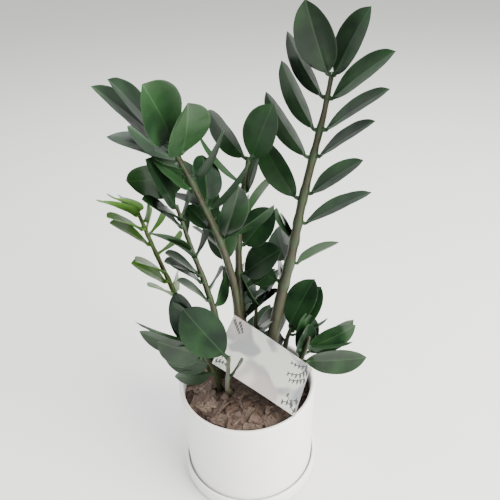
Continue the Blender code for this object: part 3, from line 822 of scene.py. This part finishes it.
# %% Turned pieces
POT_FOOT_RADIUS = 68.0 * MM
POT_WALL = 4.5 * MM
POT_FLOOR = 6.0 * MM
POT_CORNER = 8.0 * MM
POT_INNER_CORNER = 6 * MM
POT_FOOT_EXTRA = 1 * MM         # the wall is this much thicker at the foot
DRAIN_RADIUS = 9.0 * MM
SAUCER_WALL = 3.6 * MM
SAUCER_FLOOR = 5.0 * MM
SAUCER_CORNER = 7.0 * MM
SAUCER_INNER_CORNER = 3 * MM
SAUCER_FOOT_WIDTH = 14 * MM
LONGEST_STEP = 8 * MM           # along a turned outline
SOFT_EDGE = 1.2 * MM
ROUND_SIDES = 160


def arc(centre_r, centre_z, radius, start, end, steps=8):
    """Points (r, z) along an arc, with angles in degrees from +r towards +z."""
    angles = [math.radians(start + (end - start) * k / steps) for k in range(steps + 1)]
    return [(centre_r + radius * math.cos(a), centre_z + radius * math.sin(a)) for a in angles]


def divided(outline, longest):
    """Adds points to the straight stretches, so that no step is longer than the given length."""
    made = [outline[0]]
    for (r0, z0), (r1, z1) in zip(outline, outline[1:]):
        steps = max(1, math.ceil(math.hypot(r1 - r0, z1 - z0) / longest))
        made += [(r0 + (r1 - r0) * k / steps, z0 + (z1 - z0) * k / steps) for k in range(1, steps + 1)]
    return made


def skin_rows(shape, rows, sides):
    """Fills in the faces between each row of vertices and the next. A row may be one vertex."""
    for row, following in zip(rows, rows[1:]):
        if len(row) == 1 and len(following) == 1:
            continue
        for k in range(sides):
            after = (k + 1) % sides
            ring = (row[k % len(row)], row[after % len(row)],
                    following[after % len(following)], following[k % len(following)])
            shape.faces.new(tuple(dict.fromkeys(ring)))


def closed_mesh(name, shape, finish):
    """A mesh of the closed shape, with its faces turned outwards and one finish."""
    bmesh.ops.recalc_face_normals(shape, faces=shape.faces)
    mesh = bpy.data.meshes.new(name)
    shape.to_mesh(mesh)
    shape.free()
    mesh.materials.append(finish)
    return mesh


def turned(name, outline, finish):
    """Spins a closed outline of (r, z) points about Z. A point on the axis becomes one vertex."""
    shape = bmesh.new()
    rows = []
    for r, z in outline:
        count = ROUND_SIDES if r > 0 else 1
        turns = [2 * math.pi * k / ROUND_SIDES for k in range(count)]
        rows.append([shape.verts.new((r * math.cos(a), r * math.sin(a), z)) for a in turns])
    skin_rows(shape, rows + rows[:1], ROUND_SIDES)
    mesh = closed_mesh(name, shape, finish)
    mesh.shade_smooth()
    return add_object(name, mesh)


# %% [markdown]
# ### White glaze
# A satin white glaze over a pale body. Up close it has a low, slow ripple like orange peel, a few
# pin-sized specks, and it thins at the lip, where a little of the warmer body shows.

# %% Glaze finish
def glaze_finish(lip_height):
    made, tree = new_finish("white_satin_glaze")
    place = add_node(tree, "ShaderNodeTexCoord").outputs["Object"]
    height = add_node(tree, "ShaderNodeSeparateXYZ", {0: place}).outputs["Z"]
    cloud = add_node(tree, "ShaderNodeTexNoise", {"Vector": place, "Scale": 22.0, "Detail": 2.0})
    colour = add_node(tree, "ShaderNodeMix", {0: cloud.outputs["Fac"], 6: linear("#f1f1ee"),
                                              7: linear("#e9e9e5")}, data_type="RGBA")
    thin = add_node(tree, "ShaderNodeMapRange", {"Value": height, "From Min": lip_height - 1.6 * MM,
                                                 "From Max": lip_height, "To Max": 0.5})
    colour = add_node(tree, "ShaderNodeMix", {0: thin, 6: colour.outputs[2], 7: linear("#e6e1d6")},
                      data_type="RGBA")
    specks = add_node(tree, "ShaderNodeTexVoronoi", {"Vector": place, "Scale": 1 / (9 * MM)})
    specks = add_node(tree, "ShaderNodeMapRange", {"Value": specks.outputs["Distance"], "From Min": 0.03,
                                                   "From Max": 0.06, "To Min": 0.35, "To Max": 0.0})
    colour = add_node(tree, "ShaderNodeMix", {0: specks, 6: colour.outputs[2], 7: linear("#b9b2a4")},
                      data_type="RGBA")
    peel = add_node(tree, "ShaderNodeTexNoise", {"Vector": place, "Scale": 1 / (4 * MM), "Detail": 1.0})
    bump = add_node(tree, "ShaderNodeBump", {"Height": peel.outputs["Fac"], "Distance": 0.05 * MM,
                                             "Strength": 0.6})
    rough = add_node(tree, "ShaderNodeMapRange", {"Value": cloud.outputs["Fac"], "To Min": 0.26,
                                                  "To Max": 0.4})
    dress_shader(tree, {"Base Color": colour.outputs[2], "Roughness": rough.outputs[0],
                        "Normal": bump.outputs[0]}, {
        "IOR": 1.52, "Coat Weight": 0.25, "Coat Roughness": 0.2})
    return made


# %% Make the pot and the saucer
pot_low, pot_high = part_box("pot")
saucer_low, saucer_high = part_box("saucer")
glaze = glaze_finish(pot_high.z)


def pot_outline():
    rim, foot_z = pot_high.x, pot_low.z
    lip = POT_WALL / 2
    inner_foot = POT_FOOT_RADIUS - POT_WALL - POT_FOOT_EXTRA
    outline = arc(DRAIN_RADIUS + SOFT_EDGE, foot_z + SOFT_EDGE, SOFT_EDGE, 180, 270, 4)
    outline += arc(POT_FOOT_RADIUS - POT_CORNER, foot_z + POT_CORNER, POT_CORNER, -90, 0, 12)
    outline += arc(rim - lip, pot_high.z - lip, lip, 0, 180, 14)
    outline += arc(inner_foot - POT_INNER_CORNER, foot_z + POT_FLOOR + POT_INNER_CORNER,
                   POT_INNER_CORNER, 0, -90, 8)
    outline += arc(DRAIN_RADIUS + SOFT_EDGE, foot_z + POT_FLOOR - SOFT_EDGE, SOFT_EDGE, 90, 180, 4)
    return divided(outline + outline[:1], LONGEST_STEP)[:-1]


def saucer_outline():
    rim, top = saucer_high.x, saucer_high.z
    foot, lip = rim - SAUCER_CORNER, SAUCER_WALL / 2
    outline = [(0.0, 0.0), (foot - SAUCER_FOOT_WIDTH, 0.0)]
    outline += arc(foot, SAUCER_CORNER, SAUCER_CORNER, -90, 0, 12)
    outline += arc(rim - lip, top - lip, lip, 0, 180, 12)
    outline += arc(rim - SAUCER_WALL - SAUCER_INNER_CORNER, SAUCER_FLOOR + SAUCER_INNER_CORNER,
                   SAUCER_INNER_CORNER, 0, -90, 6)
    outline += [(0.0, SAUCER_FLOOR)]
    return divided(outline, LONGEST_STEP)


pot_piece = settle(turned("glazed_pot", pot_outline(), glaze), "white_glaze", "pot")
saucer_piece = settle(turned("glazed_saucer", saucer_outline(), glaze), "white_glaze", "saucer")
print("pot faces:", len(pot_piece.data.polygons), "saucer faces:", len(saucer_piece.data.polygons))

# %% [markdown]
# ## Soil and bark
# The pot is filled with peat and topped with flakes of pine bark. The bed is one disc-shaped solid
# whose top is roughened with noise. Flakes, crumbs and root fibres are scattered over it: Geometry
# Nodes spread points evenly, drop a simple shape on each, turn it at random, and then bend every
# copy by noise that reads the copy's own number, so that no two flakes match.

# %% The soil bed
SOIL_CROWN = 3.0 * MM
SOIL_SINK = 3.5 * MM            # the surface drops again where it meets the wall
SOIL_WAIST = 60 * MM            # height at which the bed's side turns in
SOIL_TAPER = 2 * MM             # and how far it turns in, above that height and again below
BED_RINGS = 46
BED_SIDES = 150
soil_low, soil_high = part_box("soil")
soil_radius = soil_high.x


def soil_height(x, y):
    """Height of the soil's surface: a low crown with lumps, sinking towards the wall."""
    share = math.hypot(x, y) / soil_radius
    lumps = noise.noise(Vector((x, y, 0)) / (14 * MM)) * 1.6 + noise.noise(Vector((x, y, 5)) / (4 * MM)) * 0.5
    return soil_high.z - SOIL_CROWN * share ** 2 - SOIL_SINK * share ** 12 + lumps * MM * (1 - share ** 6)


def soil_bed(finish):
    shape = bmesh.new()
    rows = [[shape.verts.new((0, 0, soil_height(0, 0)))]]
    for k in range(1, BED_RINGS + 1):
        r = soil_radius * k / BED_RINGS
        turns = [2 * math.pi * j / BED_SIDES for j in range(BED_SIDES)]
        rows.append([shape.verts.new((r * math.cos(a), r * math.sin(a),
                                      soil_height(r * math.cos(a), r * math.sin(a)))) for a in turns])
    for r, z in ((soil_radius - SOIL_TAPER, SOIL_WAIST), (soil_radius - 2 * SOIL_TAPER, soil_low.z),
                 (0, soil_low.z)):
        count = BED_SIDES if r > 0 else 1
        turns = [2 * math.pi * j / BED_SIDES for j in range(count)]
        rows.append([shape.verts.new((r * math.cos(a), r * math.sin(a), z)) for a in turns])
    skin_rows(shape, rows, BED_SIDES)
    mesh = closed_mesh("soil_bed", shape, finish)
    mesh.shade_smooth()
    return add_object("soil_bed", mesh)


# %% Soil and bark finishes
def peat_finish():
    """Damp peat: dark, crumbly and quite matt."""
    made, tree = new_finish("damp_peat")
    place = add_node(tree, "ShaderNodeTexCoord").outputs["Object"]
    grain = add_node(tree, "ShaderNodeTexNoise", {"Vector": place, "Scale": 1 / (2.5 * MM), "Detail": 6.0,
                                                  "Roughness": 0.7})
    spread = add_node(tree, "ShaderNodeMapRange", {"Value": grain.outputs["Fac"], "From Min": 0.35,
                                                   "From Max": 0.65})
    colour = add_node(tree, "ShaderNodeMix", {0: spread, 6: linear("#1d1511"), 7: linear("#4a382d")},
                      data_type="RGBA")
    bump = add_node(tree, "ShaderNodeBump", {"Height": grain.outputs["Fac"], "Distance": 0.8 * MM})
    dress_shader(tree, {"Base Color": colour.outputs[2], "Normal": bump.outputs[0]},
                 {"Roughness": 0.92})
    return made


def bark_finish(name, shades):
    """Broken pine bark: each flake has its own brown, with grain along its length and greyer wear."""
    made, tree = new_finish(name)
    tone = add_node(tree, "ShaderNodeAttribute", attribute_name="tone").outputs["Fac"]
    own = add_node(tree, "ShaderNodeAttribute", attribute_name="own_place").outputs["Vector"]
    place = add_node(tree, "ShaderNodeTexCoord").outputs["Object"]
    browns = add_node(tree, "ShaderNodeValToRGB", {0: tone})
    ramp = browns.color_ramp
    ramp.elements[0].color, ramp.elements[1].color = linear(shades[0]), linear(shades[-1])
    for k, shade in enumerate(shades[1:-1], 1):
        ramp.elements.new(k / (len(shades) - 1)).color = linear(shade)
    long_grain = add_node(tree, "ShaderNodeMapping", {"Vector": own, "Scale": (1.2, 9.0, 5.0)})
    shift = add_node(tree, VECTOR, {0: (31.0, 17.0, 5.0), "Scale": tone}, operation="SCALE")
    long_grain = add_node(tree, VECTOR, {0: long_grain, 1: shift}, operation="ADD")
    grain = add_node(tree, "ShaderNodeTexNoise", {"Vector": long_grain, "Scale": 1.6, "Detail": 4.0,
                                                  "Roughness": 0.65})
    dark = add_node(tree, "ShaderNodeMapRange", {"Value": grain.outputs["Fac"], "From Min": 0.38,
                                                 "From Max": 0.62, "To Min": 0.6, "To Max": 0.0})
    colour = add_node(tree, "ShaderNodeMix", {0: dark, 6: browns.outputs[0], 7: linear("#2a1c15")},
                      data_type="RGBA")
    grit = add_node(tree, "ShaderNodeTexNoise", {"Vector": place, "Scale": 1 / (1.5 * MM), "Detail": 3.0})
    height = add_node(tree, MATH, {0: grain.outputs["Fac"], 1: grit.outputs["Fac"]}, operation="ADD")
    bump = add_node(tree, "ShaderNodeBump", {"Height": height, "Distance": 0.5 * MM})
    dress_shader(tree, {"Base Color": colour.outputs[2], "Normal": bump.outputs[0]},
                 {"Roughness": 0.8})
    return made


bed = settle(soil_bed(peat_finish()), "soil", "soil")
print("soil bed faces:", len(bed.data.polygons))

# %% The scatter tree
def scatter_tree(name, make_piece):
    """Scatters one small shape over the guide's faces, each copy turned, sized and bent at random."""
    tree = new_tree(name, {
        "Spacing": "NodeSocketFloat", "Density": "NodeSocketFloat", "Smallest": "NodeSocketVector",
        "Largest": "NodeSocketVector", "Tilt": "NodeSocketFloat", "Bend": "NodeSocketFloat",
        "Lift": "NodeSocketFloat", "Seed": "NodeSocketInt", "Finish": "NodeSocketMaterial"})
    given = add_node(tree, "NodeGroupInput").outputs
    room = add_node(tree, NAMED, {"Name": "room"}, data_type="FLOAT")
    spread = add_node(tree, "GeometryNodeDistributePointsOnFaces", {
        "Mesh": given["Guide"], "Distance Min": given["Spacing"], "Density Max": given["Density"],
        "Density Factor": room, "Seed": given["Seed"]}, distribute_method="POISSON")
    piece = make_piece(tree)
    own = add_node(tree, "GeometryNodeInputPosition")
    piece = add_node(tree, STORE, {"Geometry": piece, "Name": "own_place", "Value": own},
                     data_type="FLOAT_VECTOR")
    back = add_node(tree, MATH, {0: given["Tilt"], 1: -1.0}, operation="MULTIPLY")
    lowest = add_node(tree, "ShaderNodeCombineXYZ", {0: back, 1: back, 2: 0.0})
    highest = add_node(tree, "ShaderNodeCombineXYZ", {0: given["Tilt"], 1: given["Tilt"], 2: 2 * math.pi})
    twist = add_node(tree, "FunctionNodeRandomValue", {0: lowest, 1: highest, "Seed": given["Seed"]},
                     data_type="FLOAT_VECTOR")
    twist = add_node(tree, "FunctionNodeEulerToRotation", {0: twist})
    facing = add_node(tree, "FunctionNodeRotateRotation", {0: spread.outputs["Rotation"], 1: twist},
                      rotation_space="LOCAL")
    second = add_node(tree, MATH, {0: given["Seed"], 1: 1.0}, operation="ADD")
    size = add_node(tree, "FunctionNodeRandomValue", {0: given["Smallest"], 1: given["Largest"],
                                                      "Seed": second}, data_type="FLOAT_VECTOR")
    copies = add_node(tree, "GeometryNodeInstanceOnPoints", {
        "Points": spread, "Instance": piece, "Rotation": facing, "Scale": size})
    third = add_node(tree, MATH, {0: given["Seed"], 1: 2.0}, operation="ADD")
    tone = add_node(tree, "FunctionNodeRandomValue", {"Seed": third}, data_type="FLOAT")
    copies = add_node(tree, STORE, {"Geometry": copies, "Name": "tone", "Value": tone.outputs[1]},
                      domain="INSTANCE")
    shape = add_node(tree, "GeometryNodeRealizeInstances", {0: copies})
    own = add_node(tree, NAMED, {"Name": "own_place"}, data_type="FLOAT_VECTOR")
    number = add_node(tree, NAMED, {"Name": "tone"}, data_type="FLOAT")
    apart = add_node(tree, VECTOR, {0: (97.0, 61.0, 43.0), "Scale": number}, operation="SCALE")
    sample = add_node(tree, VECTOR, {0: own, 1: apart}, operation="ADD")
    bend = add_node(tree, "ShaderNodeTexNoise", {"Vector": sample, "Scale": 2.4, "Detail": 1.5})
    bend = add_node(tree, VECTOR, {0: bend.outputs["Color"], 1: (0.5, 0.5, 0.5)}, operation="SUBTRACT")
    bend = add_node(tree, VECTOR, {0: bend, "Scale": given["Bend"]}, operation="SCALE")
    lift = add_node(tree, "ShaderNodeCombineXYZ", {2: given["Lift"]})
    bend = add_node(tree, VECTOR, {0: bend, 1: lift}, operation="ADD")
    shape = add_node(tree, "GeometryNodeSetPosition", {"Geometry": shape, "Offset": bend})
    shape = add_node(tree, "GeometryNodeSetMaterial", {"Geometry": shape, "Material": given["Finish"]})
    add_node(tree, "NodeGroupOutput", {0: shape})
    return tree


def flake(tree):
    return add_node(tree, "GeometryNodeMeshCube", {"Size": (1.0, 1.0, 1.0), "Vertices X": 6,
                                                   "Vertices Y": 4, "Vertices Z": 2})


def crumb(tree):
    return add_node(tree, "GeometryNodeMeshIcoSphere", {"Radius": 0.5, "Subdivisions": 2})


def fibre(tree):
    """A thin arched root hair: a short curve with a five-sided section."""
    line = add_node(tree, "GeometryNodeCurveQuadraticBezier", {
        "Resolution": 8, "Start": (-0.5, 0.0, 0.0), "Middle": (0.0, 0.35, 0.2), "End": (0.5, 0.0, 0.0)})
    loop = add_node(tree, "GeometryNodeCurvePrimitiveCircle", {"Resolution": 5, "Radius": 0.022})
    return add_node(tree, "GeometryNodeCurveToMesh", {"Curve": line, "Profile Curve": loop,
                                                      "Fill Caps": True})


# %% [markdown]
# Flakes must not stand inside a stem or the pot's wall. So the guide for the scatter is the soil's
# surface with one more value on each point, its room: one where a flake fits, and nothing near a
# stem or the wall.

# %% Scatter the flakes, crumbs and fibres
stem_feet = []
for centres, radii in stems.values():
    surface = min(range(len(centres)), key=lambda k: abs(centres[k].z - soil_high.z))
    stem_feet.append((centres[surface], radii[surface]))


def scatter_guide(name, wall_room, stem_room):
    """The soil's surface as a fine grid of triangles, with the room for a piece at every point."""
    steps = 60
    shape = bmesh.new()
    bmesh.ops.create_circle(shape, cap_ends=True, cap_tris=True, segments=steps,
                            radius=soil_radius - wall_room)
    bmesh.ops.subdivide_edges(shape, edges=shape.edges, cuts=18, use_grid_fill=True)
    bmesh.ops.triangulate(shape, faces=shape.faces)
    for vertex in shape.verts:
        vertex.co.z = soil_height(vertex.co.x, vertex.co.y)
    mesh = bpy.data.meshes.new(name)
    shape.to_mesh(mesh)
    shape.free()
    room = mesh.attributes.new("room", "FLOAT", "POINT")
    for vertex, item in zip(mesh.vertices, room.data):
        gaps = [(vertex.co.xy - foot.xy).length - radius for foot, radius in stem_feet]
        item.value = 1.0 if min(gaps) > stem_room else 0.0
    return mesh


bark = bark_finish("pine_bark", ("#44342b", "#5f4a3e", "#6f5c50", "#7d6c60", "#53423a", "#8f7f70"))
crumbs = bark_finish("peat_crumbs", ("#2a1e18", "#3d2c23", "#57423a", "#33261f"))
scatters = (
    ("bark_flakes", flake, bark, 7.5 * MM, 4 * MM, {
        "Spacing": 5.2 * MM, "Density": 60000.0, "Smallest": (9 * MM, 5 * MM, 1.4 * MM),
        "Largest": (26 * MM, 14 * MM, 3.0 * MM), "Tilt": 0.24, "Bend": 5.0 * MM, "Lift": 1.2 * MM,
        "Seed": 11}),
    ("soil_crumbs", crumb, crumbs, 1.0 * MM, 0.5 * MM, {
        "Spacing": 1.5 * MM, "Density": 500000.0, "Smallest": (0.8 * MM, 0.8 * MM, 0.6 * MM),
        "Largest": (3.2 * MM, 2.6 * MM, 2.2 * MM), "Tilt": 3.0, "Bend": 1.0 * MM, "Lift": 0.2 * MM,
        "Seed": 23}),
    ("root_fibres", fibre, bark, 8 * MM, 2 * MM, {
        "Spacing": 9 * MM, "Density": 9000.0, "Smallest": (9 * MM, 9 * MM, 9 * MM),
        "Largest": (18 * MM, 18 * MM, 14 * MM), "Tilt": 0.3, "Bend": 4.0 * MM, "Lift": 3.2 * MM,
        "Seed": 31}),
)
for name, make_piece, finish, wall_room, stem_room, sizes in scatters:
    tree = scatter_tree(name, make_piece)
    grown = grow(name, scatter_guide(name + "_guide", wall_room, stem_room), tree,
                 {**sizes, "Finish": finish})
    settle(grown, "soil")
    print(name, "faces:", len(grown.data.polygons))

# %% [markdown]
# ## The card
# A small printed card is tucked between the stems and the rim. Card stock is stiff, so it stays
# nearly flat and only bows a little along its length. It is built lying flat at the origin, where its
# own coordinates are easy, and then carried to the place of the CAD card: two of that solid's edges
# give its directions.

# %% Where the CAD card lies
CARD_THICKNESS = 0.45 * MM
CARD_BOW = 1.2 * MM

card_shape = merged("card")
corners = [vertex.co.copy() for vertex in card_shape.verts]
card_shape.free()
card_centre = sum(corners, Vector()) / len(corners)
spans = sorted(((b - a for k, a in enumerate(corners) for b in corners[k + 1:])),
               key=lambda span: span.length)
card_across = spans[4].copy()                  # the four shortest spans are the thickness
card_width = card_across.length
card_along = next(s for s in spans if s.length > card_width * 1.2
                  and abs(s.normalized().dot(card_across.normalized())) < 0.01).copy()
card_length = card_along.length
if card_along.x < 0:
    card_along.negate()
if card_across.y < 0:
    card_across.negate()
card_up = card_along.cross(card_across).normalized()
if card_up.z < 0:
    card_up.negate()
card_across = card_up.cross(card_along).normalized()
to_card = Matrix((card_along.normalized(), card_across, card_up)).transposed().to_4x4()
to_card.translation = card_centre
print("card in mm:", round(card_length / MM, 1), "x", round(card_width / MM, 1))


def card_rise(x):
    """The card's bow: its middle stands a little above its ends."""
    return CARD_BOW * (1 - (2 * x / card_length) ** 2) - CARD_BOW / 2


# %% [markdown]
# ### Printed card stock
# Uncoated pale grey stock with soft washes, as if painted wet: grey pools with slightly darker rims,
# and a breath of pink in one of them. The washes come from two layers of noise in the card's own
# millimetres. The sprigs at its corners are printed line drawings; they are made as shapes of their
# own, one ink film thick, so they stay crisp.

# %% Card finishes
def card_finish():
    made, tree = new_finish("printed_card_stock")
    own = add_node(tree, "ShaderNodeAttribute", attribute_name="on_card").outputs["Vector"]
    wash = add_node(tree, "ShaderNodeTexNoise", {"Vector": own, "Scale": 1 / (34 * MM), "Detail": 1.2,
                                                 "Distortion": 0.6})
    pool = add_node(tree, "ShaderNodeMapRange", {"Value": wash.outputs["Fac"], "From Min": 0.46,
                                                 "From Max": 0.56}, interpolation_type="SMOOTHSTEP")
    colour = add_node(tree, "ShaderNodeMix", {0: pool, 6: linear("#8f918c"), 7: linear("#5f6364")},
                      data_type="RGBA")
    rim = add_node(tree, MATH, {0: pool, 1: 0.5}, operation="SUBTRACT")
    rim = add_node(tree, MATH, {0: rim}, operation="ABSOLUTE")
    rim = add_node(tree, "ShaderNodeMapRange", {"Value": rim, "From Max": 0.3, "To Min": 0.25, "To Max": 0.0})
    colour = add_node(tree, "ShaderNodeMix", {0: rim, 6: colour.outputs[2], 7: linear("#5c6062")},
                      data_type="RGBA")
    blush = add_node(tree, "ShaderNodeTexNoise", {"Vector": own, "Scale": 1 / (60 * MM), "Detail": 0.5})
    blush = add_node(tree, "ShaderNodeMapRange", {"Value": blush.outputs["Fac"], "From Min": 0.52,
                                                  "From Max": 0.66, "To Max": 0.45})
    colour = add_node(tree, "ShaderNodeMix", {0: blush, 6: colour.outputs[2], 7: linear("#93857f")},
                      data_type="RGBA")
    fibres = add_node(tree, "ShaderNodeTexNoise", {"Vector": own, "Scale": 1 / (0.8 * MM), "Detail": 3.0})
    bump = add_node(tree, "ShaderNodeBump", {"Height": fibres.outputs["Fac"], "Distance": 0.03 * MM})
    dress_shader(tree, {"Base Color": colour.outputs[2], "Normal": bump.outputs[0]},
                 {"Roughness": 0.55})
    return made


def ink_finish():
    """Grey printing ink, a little uneven where the stock took less of it."""
    made, tree = new_finish("grey_printing_ink")
    place = add_node(tree, "ShaderNodeTexCoord").outputs["Object"]
    uneven = add_node(tree, "ShaderNodeTexNoise", {"Vector": place, "Scale": 1 / (3 * MM), "Detail": 2.0})
    colour = add_node(tree, "ShaderNodeMix", {0: uneven.outputs["Fac"], 6: linear("#14181a"),
                                              7: linear("#272c2e")}, data_type="RGBA")
    dress_shader(tree, {"Base Color": colour.outputs[2]}, {"Roughness": 0.6})
    return made


# %% The card's body
CARD_STEPS = (48, 28)


def outer_edge(rows):
    """The outermost vertices of a grid of rows, once round."""
    return rows[0] + [row[-1] for row in rows[1:]] + rows[-1][-2::-1] + [row[0] for row in rows[-2:0:-1]]


def card_body():
    """A closed slab of stock. Each point keeps its place on the flat card for the print."""
    shape = bmesh.new()
    own = shape.verts.layers.float_vector.new("on_card")
    sides = []
    for z in (CARD_THICKNESS / 2, -CARD_THICKNESS / 2):
        rows = []
        for j in range(CARD_STEPS[1] + 1):
            y = card_width * (j / CARD_STEPS[1] - 0.5)
            row = []
            for i in range(CARD_STEPS[0] + 1):
                x = card_length * (i / CARD_STEPS[0] - 0.5)
                vertex = shape.verts.new((x, y, card_rise(x) + z))
                vertex[own] = (x, y, 0.0)
                row.append(vertex)
            rows.append(row)
        sides.append(rows)
        for a, b in zip(rows, rows[1:]):
            for k in range(CARD_STEPS[0]):
                shape.faces.new((a[k], a[k + 1], b[k + 1], b[k]))
    upper, lower = (outer_edge(rows) for rows in sides)
    for k in range(len(upper)):
        after = (k + 1) % len(upper)
        shape.faces.new((upper[k], upper[after], lower[after], lower[k]))
    mesh = closed_mesh("printed_card", shape, card_finish())
    mesh.transform(to_card)
    return add_object("printed_card", mesh)


card_piece = settle(card_body(), "card", "card")
print("card faces:", len(card_piece.data.polygons))

# %% [markdown]
# ### Printed sprigs
# A sprig is a fine bent twig with leaves in pairs. One tree draws them all: it resamples the twig,
# sets a leaf shape at every step on either side, leaning towards the twig's tip, and gives twig and
# leaves the thickness of an ink film. Only the twig's route, the leaf's size and its slimness differ.

# %% The sprig tree
INK_FILM = 0.05 * MM


def sprig_tree():
    tree = new_tree("sprig", {
        "Pairs": "NodeSocketInt", "Leaf Length": "NodeSocketFloat", "Leaf Width": "NodeSocketFloat",
        "Lean": "NodeSocketFloat", "Twig": "NodeSocketFloat", "Film": "NodeSocketFloat",
        "Finish": "NodeSocketMaterial"})
    given = add_node(tree, "NodeGroupInput").outputs
    rail = add_node(tree, "GeometryNodeMeshToCurve", {0: given["Guide"]})
    rail = add_node(tree, "GeometryNodeCurveSplineType", {0: rail}, spline_type="CATMULL_ROM")
    fine = add_node(tree, "GeometryNodeResampleCurve", {"Curve": rail, "Count": 24})
    section_loop = add_node(tree, "GeometryNodeCurvePrimitiveQuadrilateral", {
        0: given["Twig"], 1: given["Film"]})
    twig = add_node(tree, "GeometryNodeCurveToMesh", {"Curve": fine, "Profile Curve": section_loop,
                                                      "Fill Caps": True})

    # One leaf: a flat disc drawn out to a point, from its root at the origin along +X.
    disc = add_node(tree, "GeometryNodeMeshCylinder", {"Vertices": 12, "Side Segments": 1, "Radius": 0.5,
                                                       "Depth": 1.0})
    place = add_node(tree, "ShaderNodeSeparateXYZ", {0: add_node(tree, "GeometryNodeInputPosition")})
    half = add_node(tree, MATH, {0: place.outputs["X"], 1: 0.5}, operation="ADD")
    slim = add_node(tree, MATH, {0: 1.25, 1: half}, operation="SUBTRACT")
    narrow = add_node(tree, MATH, {0: place.outputs["Y"], 1: slim}, operation="MULTIPLY")
    leaf_x = add_node(tree, MATH, {0: half, 1: given["Leaf Length"]}, operation="MULTIPLY")
    leaf_y = add_node(tree, MATH, {0: narrow, 1: given["Leaf Width"]}, operation="MULTIPLY")
    leaf_z = add_node(tree, MATH, {0: place.outputs["Z"], 1: given["Film"]}, operation="MULTIPLY")
    leaf_place = add_node(tree, "ShaderNodeCombineXYZ", {0: leaf_x, 1: leaf_y, 2: leaf_z})
    leaf = add_node(tree, "GeometryNodeSetPosition", {"Geometry": disc, "Position": leaf_place})

    posts = add_node(tree, "GeometryNodeCurveToPoints", {"Curve": rail, "Count": given["Pairs"]})
    growth = add_node(tree, "FunctionNodeAlignRotationToVector", {"Vector": posts.outputs["Tangent"]},
                      axis="X", pivot_axis="Z")
    shrink = add_node(tree, "GeometryNodeInputIndex")
    shrink = add_node(tree, MATH, {0: shrink, 1: given["Pairs"]}, operation="DIVIDE")
    shrink = add_node(tree, "ShaderNodeMapRange", {"Value": shrink, "To Min": 1.0, "To Max": 0.55})
    both = add_node(tree, "GeometryNodeJoinGeometry")
    tree.links.new(twig.outputs[0], both.inputs[0])
    for side in (1.0, -1.0):
        lean = add_node(tree, MATH, {0: given["Lean"], 1: side}, operation="MULTIPLY")
        lean = add_node(tree, "ShaderNodeCombineXYZ", {2: lean})
        lean = add_node(tree, "FunctionNodeEulerToRotation", {0: lean})
        facing = add_node(tree, "FunctionNodeRotateRotation", {0: growth, 1: lean}, rotation_space="LOCAL")
        leaves = add_node(tree, "GeometryNodeInstanceOnPoints", {
            "Points": posts, "Instance": leaf, "Rotation": facing, "Scale": shrink})
        tree.links.new(leaves.outputs[0], both.inputs[0])
    shape = add_node(tree, "GeometryNodeRealizeInstances", {0: both})
    shape = add_node(tree, "GeometryNodeSetMaterial", {"Geometry": shape, "Material": given["Finish"]})
    add_node(tree, "NodeGroupOutput", {0: shape})
    return tree


# %% Print the sprigs
# Routes in millimetres from the card's middle, X along it downhill and Y towards its upper edge,
# then the number of leaf pairs, the leaf's length and width, and its lean in degrees.
SPRIGS = {
    "feathery_sprig": (((-46, 24), (-41, 19), (-37, 15)), 5, 5.4, 3.0, 35),
    "feathery_sprig_beside": (((-40, 25), (-36, 20), (-34, 17)), 4, 4.8, 2.8, 40),
    "left_sprig": (((-46, -25), (-40, -22), (-33, -22)), 5, 6.0, 3.0, 45),
    "left_sprig_beside": (((-46, -16), (-41, -16), (-36, -14)), 4, 5.4, 2.8, 40),
    "twiggy_sprig": (((45, 22), (38, 12), (27, 7)), 6, 6.8, 3.0, 50),
    "twiggy_sprig_beside": (((46, 12), (38, 5), (31, 2)), 5, 5.8, 2.8, 50),
    "twiggy_sprig_above": (((44, 25), (34, 20), (27, 19)), 5, 5.6, 2.8, 50),
    "round_sprig": (((46, -25), (38, -20), (31, -22)), 4, 5.4, 4.2, 60),
    "round_sprig_beside": (((45, -12), (39, -17), (34, -14)), 3, 5.2, 4.0, 60),
}
TWIG_WIDTH = 0.9 * MM

sprig_shape = sprig_tree()
ink = ink_finish()
for name, (route, pairs, leaf_length, leaf_width, lean) in SPRIGS.items():
    lift = CARD_THICKNESS / 2 + INK_FILM / 2
    points = [Vector((x * MM, y * MM, card_rise(x * MM) + lift)) for x, y in route]
    edges = [(k, k + 1) for k in range(len(points) - 1)]
    printed = grow(name, guide_mesh(name + "_guide", points, edges, {}), sprig_shape, {
        "Pairs": pairs, "Leaf Length": leaf_length * MM, "Leaf Width": leaf_width * MM,
        "Lean": math.radians(lean), "Twig": TWIG_WIDTH, "Film": INK_FILM, "Finish": ink})
    printed.data.transform(to_card)
    settle(printed, "card")
print("sprigs printed:", len(SPRIGS))

# %% [markdown]
# ## Finish
# The finished plant has to fill the same box as its CAD model.

# %% Finish
import json
